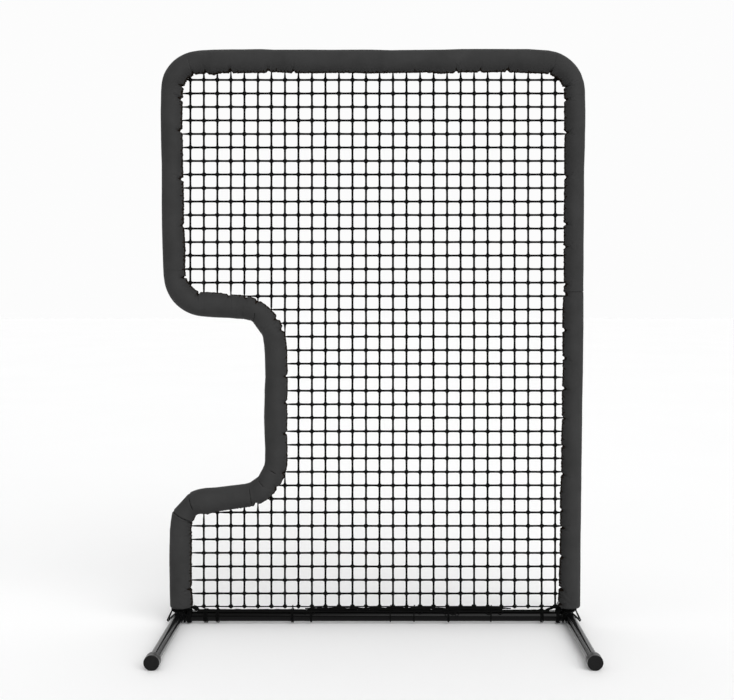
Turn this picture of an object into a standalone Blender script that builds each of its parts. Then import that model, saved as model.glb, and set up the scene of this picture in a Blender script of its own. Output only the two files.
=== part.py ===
# Padded C screen for pitching practice.
# A knock-down steel tube frame bent into a C, with a knotted net laced inside it,
# foam sleeves round every tube but the bottom rail, and two feet with rubber caps.
# Metres, +Z up. The screen stands in the XZ plane and its feet run along Y.
# The origin is on the ground, midway between the feet.

import math

import bmesh
import bpy
import numpy as np
from mathutils import Matrix, Vector

# Frame tube
TUBE_OD = 0.0381
TUBE_WALL = 0.0015
BEND_RADIUS = 0.1143
NOTCH_BEND_RADIUS = 0.1397
FRAME_WIDTH = 1.488
TOP_HEIGHT = 2.107

# Notch, measured at the tube centreline where the bars meet the notch upright
NOTCH_DEPTH = 0.377
NOTCH_LOW = 0.506
NOTCH_HIGH = 1.196
LOWER_BAR_SLOPE = math.radians(7.1)
UPPER_BAR_SLOPE = math.radians(4.1)

# Push joints between tubes
SPIGOT_CLEARANCE = 0.00075
SPIGOT_LENGTH = 0.055
SPIGOT_TAPER = 0.006
RIGHT_JOINT_HEIGHT = 1.262

# Feet
FOOT_FRONT = 0.474
FOOT_REAR = 0.126
CAP_WALL = 0.00785
CAP_LENGTH = 0.034
CAP_END_WALL = 0.004
CAP_FLAT = 0.0005
CAP_EDGE_ROUND = 0.0032
CAP_LIP_ROUND = 0.0012
UPRIGHT_STUB = 0.15
RAIL_STUB = 0.09
STUB_WALL = 0.002

# Foam sleeves
PAD_OD = 0.081
PAD_ABOVE_FOOT = 0.0147
PAD_END_ROUND = 0.012
PAD_END_DRAW = 0.12
SLIT_CLEARANCE = 0.0006
SLEEVE_GAP = 0.0005
THROAT_EASE = 1.4

# Net
NET_PITCH = 0.1014
NET_CORD = 0.0045
TIE_CORD = 0.002
LACING_CORD = 0.0026
TIE_SPACING = 0.6
RAIL_GAP = 0.0125
LACING_CELLS = 2
END_TURNS = 4
SHORT_CELL = 0.45
BEND_SHARE = 0.98
SLOPE_CELL = 0.72

# Share of a full turn that each cord loop spends round the tube, a little over the true one
TIE_WRAP = 0.84
LACING_WRAP = 0.7

# Hitch pins
PIN_OD = 0.0079
PIN_HEAD_OD = 0.0116
PIN_HEAD_LENGTH = 0.009
PIN_HEAD_ROUND = 0.0015
PIN_TIP_LENGTH = 0.0015
PIN_TIP_SHARE = 0.7
PIN_ABOVE_FOOT = 0.0072
BAIL_WIRE = 0.0028
BAIL_HALF_WIDTH = 0.0125
BAIL_DROP = 0.036
BAIL_REACH = 0.0475
BAIL_RETURN = 0.012
BAIL_END_GAP = 0.0024
BAIL_CORNER = 0.003
BAIL_KNEE_IN = 0.002
BAIL_KNEE_DOWN = 0.005
BAIL_GRIP = 1.5

# Joint screws
SCREW_SHANK = 0.0048
SCREW_HEAD = 0.0096
SCREW_HEAD_HEIGHT = 0.0021
SCREW_LENGTH = 0.012
SCREW_POINT = 0.0024
SCREW_CROWN = 0.003
SCREW_SKIRT = 0.0005
SCREW_EDGE = 0.0018
SCREW_FROM_JOINT = 0.026

# Clearances
TOUCH = 0.0003
HOLE_CLEARANCE = 0.0003
OVERCUT = 0.01
WELD_DISTANCE = 0.00001
SHORTEST_STEP = 0.0005
SELF_GAP_STEP = 0.001

# Facets
BARE_SIDES = 20
HIDDEN_SIDES = 12
PAD_SIDES = 14
BORE_SIDES = 11
BEND_STEPS = 5
LOOP_SIDES = 8
PIN_SIDES = 16
HOLE_SIDES = 12
CROSS_HOLE_SIDES = 10
SCREW_SIDES = 8
BAIL_SIDES = 8
LACING_SIDES = 6
TIE_SIDES = 4

# Places worked out from the sizes above
TUBE_R = TUBE_OD / 2
SPIGOT_OD = TUBE_OD - 2 * TUBE_WALL - 2 * SPIGOT_CLEARANCE
CAP_OD = TUBE_OD + 2 * CAP_WALL
FRAME_Y = (FOOT_FRONT - FOOT_REAR) / 2
HALF_WIDTH = FRAME_WIDTH / 2
NOTCH_X = NOTCH_DEPTH - HALF_WIDTH
FOOT_Z = CAP_OD / 2 - CAP_FLAT
FOOT_TOP = FOOT_Z + TUBE_R
FRAME_BASE = FOOT_TOP + TOUCH
PAD_BASE = FOOT_TOP + PAD_ABOVE_FOOT
PIN_Z = FOOT_TOP + PIN_ABOVE_FOOT
NET_STAND_OFF = TUBE_R + TOUCH + NET_CORD / 2
SLIT_HALF = NET_CORD / 2 + SLIT_CLEARANCE
TIE_LOOP_R = (TUBE_R + TOUCH + TIE_CORD / 2) / math.cos(math.pi / LOOP_SIDES * TIE_WRAP)
LACING_LOOP_R = (TUBE_R + TOUCH + LACING_CORD / 2) / math.cos(math.pi / LOOP_SIDES * LACING_WRAP)
BORE_R = (TIE_LOOP_R + TIE_CORD / 2 + TOUCH) / math.cos(math.pi / (BORE_SIDES + 1))


# Scene and materials

def clear_scene():
    for item in list(bpy.data.objects):
        bpy.data.objects.remove(item, do_unlink=True)


def make_collection(name):
    collection = bpy.data.collections.new(name)
    bpy.context.scene.collection.children.link(collection)
    return collection


def make_material(name, color, roughness, metallic=0.0):
    material = bpy.data.materials.new(name)
    material.use_nodes = True
    shader = material.node_tree.nodes["Principled BSDF"]
    shader.inputs["Base Color"].default_value = (*color, 1.0)
    shader.inputs["Roughness"].default_value = roughness
    shader.inputs["Metallic"].default_value = metallic
    return material


def add_object(name, data, material, collection):
    item = bpy.data.objects.new(name, data)
    collection.objects.link(item)
    if material is not None:
        data.materials.append(material)
    return item


def mesh_of(item):
    """The evaluated mesh of an object, with the loose caps of a curve welded on."""
    bpy.context.view_layer.update()
    graph = bpy.context.evaluated_depsgraph_get()
    mesh = bpy.data.meshes.new_from_object(item.evaluated_get(graph))
    work = bmesh.new()
    work.from_mesh(mesh)
    bmesh.ops.remove_doubles(work, verts=work.verts, dist=WELD_DISTANCE)
    bmesh.ops.recalc_face_normals(work, faces=work.faces)
    work.to_mesh(mesh)
    work.free()
    return mesh


def mesh_from_curve(item):
    """Replaces a curve object by a mesh object of the same name and place."""
    mesh = mesh_of(item)
    name = item.name
    matrix = item.matrix_world.copy()
    collection = item.users_collection[0]
    bpy.data.objects.remove(item, do_unlink=True)
    solid = bpy.data.objects.new(name, mesh)
    solid.matrix_world = matrix
    collection.objects.link(solid)
    return solid


def smooth(item, angle=40):
    item.data.shade_smooth()
    item.data.set_sharp_from_angle(angle=math.radians(angle))


def cut(item, cutter, operation="DIFFERENCE"):
    cutter.hide_render = True
    cutter.display_type = "WIRE"
    boolean = item.modifiers.new(operation.lower(), "BOOLEAN")
    boolean.operation = operation
    boolean.object = cutter
    boolean.solver = "EXACT"


# Curves and turned forms

def wire(name, path, diameter, material, collection, sides, closed=False, radii=None, caps=True):
    """A bevelled POLY spline."""
    curve = bpy.data.curves.new(name, "CURVE")
    curve.dimensions = "3D"
    curve.bevel_depth = diameter / 2
    curve.bevel_resolution = sides // 2 - 2
    curve.use_fill_caps = caps and not closed
    spline = curve.splines.new("POLY")
    spline.points.add(len(path) - 1)
    for index, point in enumerate(path):
        spline.points[index].co = (*point, 1.0)
        if radii is not None:
            spline.points[index].radius = radii[index]
    spline.use_cyclic_u = closed
    return add_object(name, curve, material, collection)


def rod_cutter(name, diameter, start, end, collection, sides=HOLE_SIDES):
    """A solid round rod from start to end, used to cut a hole or to join a boss."""
    start = Vector(start)
    end = Vector(end)
    work = bmesh.new()
    turn = (end - start).to_track_quat("Z", "Y").to_matrix().to_4x4()
    place = Matrix.Translation((start + end) / 2) @ turn
    bmesh.ops.create_cone(work, cap_ends=True, segments=sides, radius1=diameter / 2,
                          radius2=diameter / 2, depth=(end - start).length)
    mesh = bpy.data.meshes.new(name)
    work.to_mesh(mesh)
    work.free()
    item = add_object(name, mesh, None, collection)
    item.matrix_world = place
    item.hide_render = True
    item.display_type = "WIRE"
    return item


def turned(name, profile, steps, material, collection):
    """A profile of (radius, height) points, outer side from top to bottom, turned about Z."""
    mesh = bpy.data.meshes.new(name)
    points = [(radius, 0.0, height) for radius, height in profile]
    edges = [(index, index + 1) for index in range(len(points) - 1)]
    if profile[0][0] > 0.0 and profile[-1][0] > 0.0:
        edges.append((len(points) - 1, 0))
    mesh.from_pydata(points, edges, [])
    item = add_object(name, mesh, material, collection)
    screw = item.modifiers.new("turn", "SCREW")
    screw.axis = "Z"
    screw.angle = math.tau
    screw.steps = steps
    screw.render_steps = steps
    screw.use_merge_vertices = True
    screw.merge_threshold = WELD_DISTANCE
    return item


def rounded(corner_in, corner, corner_out, size, steps=3):
    """Points that round one corner of a turned profile by about size."""
    a = Vector(corner_in)
    b = Vector(corner)
    c = Vector(corner_out)
    start = b + (a - b).normalized() * size
    end = b + (c - b).normalized() * size
    points = []
    for step in range(steps + 1):
        t = step / steps
        points.append(tuple(start * (1 - t) ** 2 + b * 2 * t * (1 - t) + end * t ** 2))
    return points


# Centreline of the covered frame

class FrameLine:
    """Straight runs joined by bends of given radii, measured by the length along them."""

    def __init__(self, corners, radii):
        corners = [Vector(corner) for corner in corners]
        self.parts = []
        self.bends = []
        self.length = 0.0
        here = corners[0]
        for before, corner, after, radius in zip(corners, corners[1:], corners[2:], radii):
            into = (corner - before).normalized()
            out = (after - corner).normalized()
            turn = math.acos(max(-1.0, min(1.0, into.dot(out))))
            reach = radius * math.tan(turn / 2)
            start = corner - into * reach
            self.add_run(here, start)
            hand = 1.0 if into.x * out.y - into.y * out.x > 0 else -1.0
            centre = start + Vector((-into.y, into.x)) * radius * hand
            self.bends.append((self.length, self.length + radius * turn, centre, radius, hand))
            self.parts.append((self.length, radius * turn, start, into, centre, hand / radius))
            self.length += radius * turn
            here = corner + out * reach
        self.add_run(here, corners[-1])

    def add_run(self, start, end):
        length = (end - start).length
        self.parts.append((self.length, length, start, (end - start).normalized(), None, 0.0))
        self.length += length

    def at(self, along):
        """Point and direction, each in the XZ plane, at a length along the line."""
        for begin, length, start, into, centre, curvature in self.parts:
            if along <= begin + length:
                break
        if centre is None:
            return start + into * (along - begin), into
        spin = Matrix.Rotation(curvature * (along - begin), 2)
        return centre + spin @ (start - centre), spin @ into

    def stations(self, begin, end, steps):
        """Lengths from begin to end, with each bend on the way cut into steps."""
        marks = [begin, end]
        for bend_start, bend_end, centre, radius, hand in self.bends:
            for step in range(steps + 1):
                marks.append(bend_start + (bend_end - bend_start) * step / steps)
        marks = sorted(mark for mark in marks if begin <= mark <= end)
        kept = [marks[0]]
        for mark in marks[1:]:
            if mark - kept[-1] > SHORTEST_STEP:
                kept.append(mark)
        return kept

    def point(self, along):
        flat, direction = self.at(along)
        return Vector((flat.x, 0.0, flat.y))

    def heading(self, along):
        flat, direction = self.at(along)
        return Vector((direction.x, 0.0, direction.y))

    def net_side(self, along):
        """Unit vector in the frame's plane that points at the net."""
        flat, direction = self.at(along)
        return Vector((direction.y, 0.0, -direction.x))


def bar_height(level, slope, x):
    """Height of a notch bar's centreline: its level at the notch, and its slope outwards."""
    return level + (NOTCH_X - x) * math.tan(slope)


def lower_bar_z(x):
    return bar_height(NOTCH_LOW, -LOWER_BAR_SLOPE, x)


def upper_bar_z(x):
    return bar_height(NOTCH_HIGH, UPPER_BAR_SLOPE, x)


def frame_corners():
    return [
        (-HALF_WIDTH, FRAME_BASE),
        (-HALF_WIDTH, lower_bar_z(-HALF_WIDTH)),
        (NOTCH_X, NOTCH_LOW),
        (NOTCH_X, NOTCH_HIGH),
        (-HALF_WIDTH, upper_bar_z(-HALF_WIDTH)),
        (-HALF_WIDTH, TOP_HEIGHT),
        (HALF_WIDTH, TOP_HEIGHT),
        (HALF_WIDTH, FRAME_BASE),
    ]


def frame_radii():
    return [BEND_RADIUS, NOTCH_BEND_RADIUS, NOTCH_BEND_RADIUS, BEND_RADIUS, BEND_RADIUS, BEND_RADIUS]


def middle_of_run(line, before, after):
    """Length along the line midway between two bends."""
    return (line.bends[before][1] + line.bends[after][0]) / 2


def tube_joints(line):
    """Where one tube ends and the next begins, from the left foot round to the right."""
    drop = TOP_HEIGHT - BEND_RADIUS - RIGHT_JOINT_HEIGHT
    return [
        middle_of_run(line, 0, 1),
        middle_of_run(line, 2, 3),
        middle_of_run(line, 3, 4),
        middle_of_run(line, 4, 5),
        line.bends[5][1] + drop,
    ]


# Tubes

def frame_tube(name, line, begin, end, swaged, material, parts):
    """A hollow tube along the line, its far end drawn down to fit inside the next."""
    marks = line.stations(begin, end, BEND_STEPS)
    radii = [1.0] * len(marks)
    if swaged:
        small = SPIGOT_OD / TUBE_OD
        marks = marks[:-1] + [end - SPIGOT_TAPER, end - TOUCH, end + SPIGOT_LENGTH]
        radii = radii[:-1] + [1.0, small, small]
    points = [line.point(mark) for mark in marks]
    tube = wire(name, points, TUBE_OD, None, parts, HIDDEN_SIDES, radii=radii, caps=False)
    tube = mesh_from_curve(tube)
    tube.data.materials.append(material)
    return hollow(tube, TUBE_WALL)


def hollow(tube, wall):
    """Gives an open tube its wall, grown inwards from the outer surface."""
    shell = tube.modifiers.new("wall", "SOLIDIFY")
    shell.thickness = wall
    shell.offset = -1.0
    shell.use_even_offset = True
    smooth(tube)
    return tube


def screw_place(line, joint):
    """Centre and axis of a joint screw, on the face towards the camera."""
    return line.point(joint + SCREW_FROM_JOINT)


def meets_screw(line, mark, half_width):
    """Whether something that wide round the tube would run over a joint screw's head."""
    reach = SCREW_HEAD / 2 + half_width + TOUCH
    return any(abs(joint + SCREW_FROM_JOINT - mark) < reach for joint in tube_joints(line))


def make_frame(line, steel, parts, cutters):
    names = ["lower_left_tube", "notch_tube", "upper_left_tube", "top_left_tube",
             "top_right_tube", "right_lower_tube"]
    joints = tube_joints(line)
    starts = [0.0] + joints
    ends = joints + [line.length]
    tubes = []
    for index, name in enumerate(names):
        swaged = index < len(joints)
        tubes.append(frame_tube(name, line, starts[index], ends[index], swaged, steel, parts))
    for index, joint in enumerate(joints):
        centre = screw_place(line, joint)
        hole = rod_cutter("screw_hole_%d" % index, SCREW_SHANK + 2 * HOLE_CLEARANCE,
                          centre + Vector((0, -TUBE_OD, 0)), centre, cutters, SCREW_SIDES)
        cut(tubes[index], hole)
        cut(tubes[index + 1], hole)
    for side, tube in ((-1, tubes[0]), (1, tubes[-1])):
        cut(tube, pin_hole("upright_pin_hole_%d" % side, side, cutters))
    return tubes


def pin_hole(name, side, cutters):
    centre = side * HALF_WIDTH
    return rod_cutter(name, PIN_OD + 2 * HOLE_CLEARANCE, (centre - TUBE_OD, 0, PIN_Z),
                      (centre + TUBE_OD, 0, PIN_Z), cutters)


def make_rail(steel, parts):
    reach = HALF_WIDTH - TUBE_R - TOUCH
    points = [Vector((-reach, 0, FOOT_Z)), Vector((reach, 0, FOOT_Z))]
    rail = wire("bottom_rail", points, TUBE_OD, None, parts, BARE_SIDES, caps=False)
    rail = mesh_from_curve(rail)
    rail.data.materials.append(steel)
    return hollow(rail, TUBE_WALL)


def make_screws(line, zinc, parts):
    """Low-headed screws, one at each push joint."""
    profile = [(0.0, SCREW_HEAD_HEIGHT), (SCREW_CROWN, SCREW_EDGE),
               (SCREW_HEAD / 2, SCREW_SKIRT), (SCREW_HEAD / 2, 0.0),
               (SCREW_SHANK / 2, 0.0), (SCREW_SHANK / 2, SCREW_POINT - SCREW_LENGTH),
               (0.0, -SCREW_LENGTH)]
    for index, joint in enumerate(tube_joints(line)):
        screw = turned("joint_screw_%d" % (index + 1), profile, SCREW_SIDES, zinc, parts)
        screw.location = screw_place(line, joint) + Vector((0, -TUBE_R - TOUCH, 0))
        screw.rotation_euler = (math.pi / 2, 0, 0)
        smooth(screw)


# Feet

def make_foot(name, side, steel, parts, cutters):
    """A foot tube with two welded stubs: one for the upright and one for the rail."""
    x = side * HALF_WIDTH
    front = CAP_END_WALL + TOUCH - FOOT_FRONT
    rear = FOOT_REAR - CAP_END_WALL - TOUCH
    bore = TUBE_OD - 2 * TUBE_WALL
    stub_bore = SPIGOT_OD - 2 * STUB_WALL
    foot = rod_cutter(name, TUBE_OD, (x, front, FOOT_Z), (x, rear, FOOT_Z), parts, BARE_SIDES)
    foot.hide_render = False
    foot.display_type = "TEXTURED"
    foot.data.materials.append(steel)
    inner = x - side * (TUBE_R + RAIL_STUB)
    stub_top = FOOT_TOP + UPRIGHT_STUB
    cut(foot, rod_cutter(name + "_upright_stub", SPIGOT_OD, (x, 0, FOOT_Z), (x, 0, stub_top),
                         cutters, HIDDEN_SIDES), "UNION")
    cut(foot, rod_cutter(name + "_rail_stub", SPIGOT_OD, (x, 0, FOOT_Z), (inner, 0, FOOT_Z),
                         cutters, HIDDEN_SIDES), "UNION")
    cut(foot, rod_cutter(name + "_bore", bore, (x, front - OVERCUT, FOOT_Z),
                         (x, rear + OVERCUT, FOOT_Z), cutters, BARE_SIDES))
    cut(foot, rod_cutter(name + "_upright_bore", stub_bore, (x, 0, FOOT_TOP + STUB_WALL / 2),
                         (x, 0, stub_top + OVERCUT), cutters, HIDDEN_SIDES))
    cut(foot, rod_cutter(name + "_rail_bore", stub_bore,
                         (x - side * (TUBE_R + STUB_WALL / 2), 0, FOOT_Z),
                         (inner - side * OVERCUT, 0, FOOT_Z), cutters, HIDDEN_SIDES))
    cut(foot, pin_hole(name + "_pin_hole", side, cutters))
    smooth(foot)
    return foot


def make_cap(name, side, end, rubber, parts, cutters):
    """A round rubber cap pushed over a foot's end and moulded flat underneath."""
    outer = CAP_OD / 2
    inner = TUBE_R + TOUCH
    depth = CAP_LENGTH
    outline = [(0.0, depth)]
    outline += rounded((0.0, depth), (outer, depth), (outer, 0.0), CAP_EDGE_ROUND)
    outline += rounded((outer, depth), (outer, 0.0), (inner, 0.0), CAP_LIP_ROUND, 1)
    outline += [(inner, 0.0), (inner, depth - CAP_END_WALL), (0.0, depth - CAP_END_WALL)]
    cap = turned(name, outline, BARE_SIDES, rubber, parts)
    reach = FOOT_FRONT if end < 0 else FOOT_REAR
    cap.location = (side * HALF_WIDTH, end * (reach - depth), FOOT_Z)
    cap.rotation_euler = (-end * math.pi / 2, 0, 0)
    floor = bpy.data.meshes.new(name + "_floor")
    work = bmesh.new()
    size = CAP_OD * 2
    place = Matrix.Translation((side * HALF_WIDTH, end * reach, -size / 2))
    bmesh.ops.create_cube(work, size=size, matrix=place)
    work.to_mesh(floor)
    work.free()
    cut(cap, add_object(name + "_floor", floor, None, cutters))
    smooth(cap)
    return cap


# Hitch pins

def make_pin(name, side, steel, parts, cutters):
    """A pin through the upright and the foot's stub, with its head on the outboard side."""
    radius = PIN_OD / 2
    head = PIN_HEAD_OD / 2
    length = 2 * TUBE_R + TOUCH
    profile = [(0.0, PIN_HEAD_LENGTH)]
    profile += rounded((0.0, PIN_HEAD_LENGTH), (head, PIN_HEAD_LENGTH), (head, 0.0),
                       PIN_HEAD_ROUND, 2)
    profile += [(head, 0.0), (radius, 0.0), (radius, PIN_TIP_LENGTH - length),
                (radius * PIN_TIP_SHARE, -length), (0.0, -length)]
    pin = turned(name, profile, PIN_SIDES, steel, parts)
    pin.location = (side * (HALF_WIDTH + TUBE_R + TOUCH), 0, PIN_Z)
    pin.rotation_euler = (0, side * math.pi / 2, 0)
    x = bail_pivot_x(side)
    cut(pin, rod_cutter(name + "_cross_hole", BAIL_WIRE + 4 * HOLE_CLEARANCE,
                        (x, -PIN_HEAD_OD, PIN_Z), (x, PIN_HEAD_OD, PIN_Z), cutters,
                        CROSS_HOLE_SIDES))
    smooth(pin)
    return pin


def bail_pivot_x(side):
    return side * (HALF_WIDTH + TUBE_R + TOUCH + PIN_HEAD_LENGTH / 2)


def make_bail(name, side, steel, parts):
    """A wire bail that turns in the pin's head and hangs outside the foot."""
    pivot = Vector((bail_pivot_x(side), 0, PIN_Z))
    knee = Vector((side * (HALF_WIDTH + BAIL_REACH - BAIL_WIRE), 0, PIN_Z - BAIL_DROP))
    knee_low = knee + Vector((-side * BAIL_KNEE_IN, 0, -BAIL_KNEE_DOWN))
    hook = Vector((side * (HALF_WIDTH + TUBE_R + TOUCH + BAIL_WIRE), 0,
                   PIN_Z - BAIL_DROP + BAIL_RETURN))
    wide = Vector((0, BAIL_HALF_WIDTH, 0))
    near = Vector((0, BAIL_END_GAP / 2, 0))
    inset = Vector((0, BAIL_CORNER, 0))
    arm = (knee - pivot).normalized() * BAIL_CORNER
    back = (hook - knee_low).normalized() * BAIL_CORNER
    half = [pivot + near, pivot + wide - inset, pivot + wide + arm, knee + wide - arm,
            knee + wide, knee_low + wide, hook + wide - back, hook + wide - inset]
    other = [Vector((point.x, -point.y, point.z)) for point in reversed(half)]
    grip = [1.0, 1.0, 1.0, 1.0, BAIL_GRIP, BAIL_GRIP, 1.0, 1.0]
    bail = wire(name, half + other, BAIL_WIRE, steel, parts, BAIL_SIDES, radii=grip + grip[::-1])
    bail.data.transform(Matrix.Translation(-pivot))
    bail.location = pivot
    return bail


# Foam sleeves

def sleeve_profile(outer_r):
    """Closed outline (towards the net, along Y) of a slit foam sleeve."""
    lip = math.asin(SLIT_HALF / outer_r)
    small_r = NET_CORD / 2 + TOUCH + TIE_CORD / 2
    lean = math.asin((TIE_LOOP_R - small_r) / NET_STAND_OFF)
    throat = math.pi / 2 - lean + (TIE_CORD / 2 + TOUCH) / BORE_R * THROAT_EASE
    nose = NET_STAND_OFF + (small_r + TIE_CORD + TOUCH - SLIT_HALF) / math.tan(math.pi / 2 - lean)
    points = []
    for step in range(PAD_SIDES + 1):
        angle = lip + (math.tau - 2 * lip) * step / PAD_SIDES
        points.append((outer_r * math.cos(angle), outer_r * math.sin(angle)))
    points.append((nose, -SLIT_HALF))
    for step in range(BORE_SIDES + 1):
        angle = -throat - (math.tau - 2 * throat) * step / BORE_SIDES
        points.append((BORE_R * math.cos(angle), BORE_R * math.sin(angle)))
    points.append((nose, SLIT_HALF))
    return points


def loft(name, rings, material, collection):
    """A closed solid through rings of equal point counts, with flat ends."""
    work = bmesh.new()
    loops = [[work.verts.new(point) for point in ring] for ring in rings]
    count = len(rings[0])
    for lower, upper in zip(loops, loops[1:]):
        for index in range(count):
            after = (index + 1) % count
            work.faces.new((lower[index], lower[after], upper[after], upper[index]))
    work.faces.new(loops[0][::-1])
    work.faces.new(loops[-1])
    bmesh.ops.recalc_face_normals(work, faces=work.faces)
    mesh = bpy.data.meshes.new(name)
    work.to_mesh(mesh)
    work.free()
    item = add_object(name, mesh, material, collection)
    smooth(item)
    return item


def make_sleeve(name, line, begin, end, vinyl, parts):
    """One foam sleeve along the line, drawn in at both ends, slit on the net's side."""
    begin += SLEEVE_GAP / 2
    end -= SLEEVE_GAP / 2
    marks = line.stations(begin + PAD_END_ROUND, end - PAD_END_ROUND, BEND_STEPS)
    marks = [begin] + marks + [end]
    rings = []
    for index, mark in enumerate(marks):
        draw = PAD_END_DRAW if index in (0, len(marks) - 1) else 0.0
        side = line.net_side(mark)
        centre = line.point(mark)
        outline = sleeve_profile(PAD_OD / 2 * (1 - draw))
        rings.append([centre + side * u + Vector((0, v, 0)) for u, v in outline])
    return loft(name, rings, vinyl, parts)


def sleeve_ranges(line):
    """Name, start and end of each sleeve, from the left foot round to the right."""
    bends = line.bends
    right_joint = tube_joints(line)[-1]
    first = PAD_BASE - FRAME_BASE
    last = line.length - first
    names = ["pad_left_lower", "pad_left_lower_corner", "pad_lower_bar", "pad_notch_lower_corner",
             "pad_notch_upright", "pad_notch_upper_corner", "pad_upper_bar",
             "pad_left_upper_corner", "pad_left_upper", "pad_top_left_corner", "pad_top",
             "pad_top_right_corner", "pad_right_upper", "pad_right_lower"]
    cuts = [first]
    for bend in bends:
        cuts += [bend[0] - PAD_END_ROUND, bend[1] + PAD_END_ROUND]
    cuts += [right_joint, last]
    return [(name, cuts[index], cuts[index + 1]) for index, name in enumerate(names)]


def make_sleeves(line, vinyl, parts):
    for name, begin, end in sleeve_ranges(line):
        make_sleeve(name, line, begin, end, vinyl, parts)


# Net

def spaced(low, high, pitch):
    """Even places from low to high, as near the pitch as they can be."""
    count = max(1, round((high - low) / pitch))
    return [low + (high - low) * step / count for step in range(count + 1)]


def net_columns():
    reach = HALF_WIDTH - NET_STAND_OFF
    return spaced(-reach, reach, NET_PITCH)


def net_rows():
    low = FOOT_TOP + RAIL_GAP + NET_CORD / 2
    return spaced(low, TOP_HEIGHT - NET_STAND_OFF, NET_PITCH)


def net_low_edge(x):
    """Top edge of the net under the lower bar."""
    return lower_bar_z(x) - NET_STAND_OFF / math.cos(LOWER_BAR_SLOPE)


def net_high_edge(x):
    """Bottom edge of the net over the upper bar."""
    return upper_bar_z(x) + NET_STAND_OFF / math.cos(UPPER_BAR_SLOPE)


def inside_bend(point, line):
    """Draws a net corner in to the inner side of the bend that it lies beyond."""
    for begin, end, centre, radius, hand in line.bends:
        if hand > 0:
            continue
        half_turn = (end - begin) / radius / 2
        middle = line.point((begin + end) / 2)
        outward = Vector((middle.x - centre.x, middle.z - centre.y))
        away = Vector((point.x - centre.x, point.z - centre.y))
        reach = radius * math.cos(half_turn / BEND_STEPS) - NET_STAND_OFF
        if reach < away.length < radius / math.cos(half_turn):
            if away.angle(outward) < half_turn * BEND_SHARE:
                away = away.normalized() * reach
                return Vector((centre.x + away.x, 0.0, centre.y + away.y))
    return point


def net_panel(name, line, columns, rows, place, twine, parts):
    """A grid of cords: place(column, row) gives each crossing's X and Z."""
    work = bmesh.new()
    grid = []
    for row in range(len(rows)):
        grid.append([work.verts.new(inside_bend(place(columns[column], row), line))
                     for column in range(len(columns))])
    for row in range(len(rows) - 1):
        for column in range(len(columns) - 1):
            work.faces.new((grid[row][column], grid[row][column + 1],
                            grid[row + 1][column + 1], grid[row + 1][column]))
    mesh = bpy.data.meshes.new(name)
    work.to_mesh(mesh)
    work.free()
    panel = add_object(name, mesh, twine, parts)
    cords = panel.modifiers.new("cords", "WIREFRAME")
    cords.thickness = NET_CORD
    cords.use_replace = True
    cords.use_boundary = True
    cords.use_even_offset = True
    cords.offset = 0.0
    return panel


def make_net(line, twine, parts):
    columns = net_columns()
    rows = net_rows()
    left_edge = NOTCH_X + NET_STAND_OFF
    low_seam = net_low_edge(left_edge)
    high_seam = net_high_edge(left_edge)
    pitch = rows[1] - rows[0]
    least = pitch * SHORT_CELL
    seam = NET_CORD / 2 + TOUCH / 2

    upper = [high_seam] + [row for row in rows if row > high_seam + least]
    lower = [row for row in rows if row < low_seam - pitch * SLOPE_CELL] + [low_seam]
    middle = [low_seam] + [row for row in rows if low_seam + least < row < high_seam - least]
    middle.append(high_seam)
    inner = [left_edge] + [x for x in columns if x > left_edge + least]

    def upper_place(x, row):
        if row == 0 and x < left_edge:
            return Vector((x, 0.0, net_high_edge(x)))
        if row == 0:
            return Vector((x, 0.0, high_seam + seam))
        return Vector((x, 0.0, upper[row]))

    def lower_place(x, row):
        if row == len(lower) - 1 and x < left_edge:
            return Vector((x, 0.0, net_low_edge(x)))
        if row == len(lower) - 1:
            return Vector((x, 0.0, low_seam - seam))
        return Vector((x, 0.0, lower[row]))

    def middle_place(x, row):
        step = seam if row == 0 else -seam if row == len(middle) - 1 else 0.0
        return Vector((x, 0.0, middle[row] + step))

    net_panel("net_upper", line, columns, upper, upper_place, twine, parts)
    net_panel("net_middle", line, inner, middle, middle_place, twine, parts)
    net_panel("net_lower", line, columns, lower, lower_place, twine, parts)


def loop_round(centre, side, loop_r, top_r, height, slip=0.0):
    """A loop of cord round a tube and the net's edge cord, moving along X by slip."""
    touch = math.acos((loop_r - top_r) / height)
    places = [(0.0, top_r, height), (touch, top_r, height)]
    for step in range(LOOP_SIDES + 1):
        angle = touch + (math.tau - 2 * touch) * step / LOOP_SIDES
        places.append((angle, loop_r, 0.0))
    places.append((math.tau - touch, top_r, height))
    points = []
    for angle, radius, lift in places:
        out = side * math.cos(angle) + Vector((0, math.sin(angle), 0))
        drift = Vector((slip * angle / math.tau, 0, 0))
        points.append(centre + side * lift + out * radius + drift)
    return points


def make_ties(line, twine, parts):
    """Loops of cord that hold the net's edge to the covered tubes."""
    columns = net_columns()
    rows = net_rows()
    top_r = NET_CORD / 2 + TOUCH * 1.5 + TIE_CORD / 2
    number = 0
    for name, begin, end in sleeve_ranges(line):
        if name.endswith("corner"):
            continue
        count = max(1, round((end - begin) / TIE_SPACING))
        for index in range(count):
            mark = begin + (end - begin) * (index + 0.5) / count
            flat, direction = line.at(mark)
            level = abs(direction.x) > abs(direction.y)
            here = flat.x if level else flat.y
            pace = direction.x if level else direction.y
            below, above = cords_beside(here, columns if level else rows)
            mark += ((below + above) / 2 - here) / pace
            half_cell = (above - below) / 2 / pace
            if meets_screw(line, mark, TIE_CORD / 2):
                mark += math.copysign(2 * half_cell, (begin + end) / 2 - mark)
            side = line.net_side(mark)
            height = net_edge_height(line, mark, half_cell)
            loop = loop_round(line.point(mark), side, TIE_LOOP_R, top_r, height)
            number += 1
            wire("net_tie_%d" % number, loop, TIE_CORD, twine, parts, TIE_SIDES, closed=True)


def cords_beside(value, cords):
    """The two cords on either side of a value."""
    below = max(cord for cord in cords[:-1] if cord <= max(value, cords[0]))
    above = min(cord for cord in cords if cord > below)
    return below, above


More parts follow.
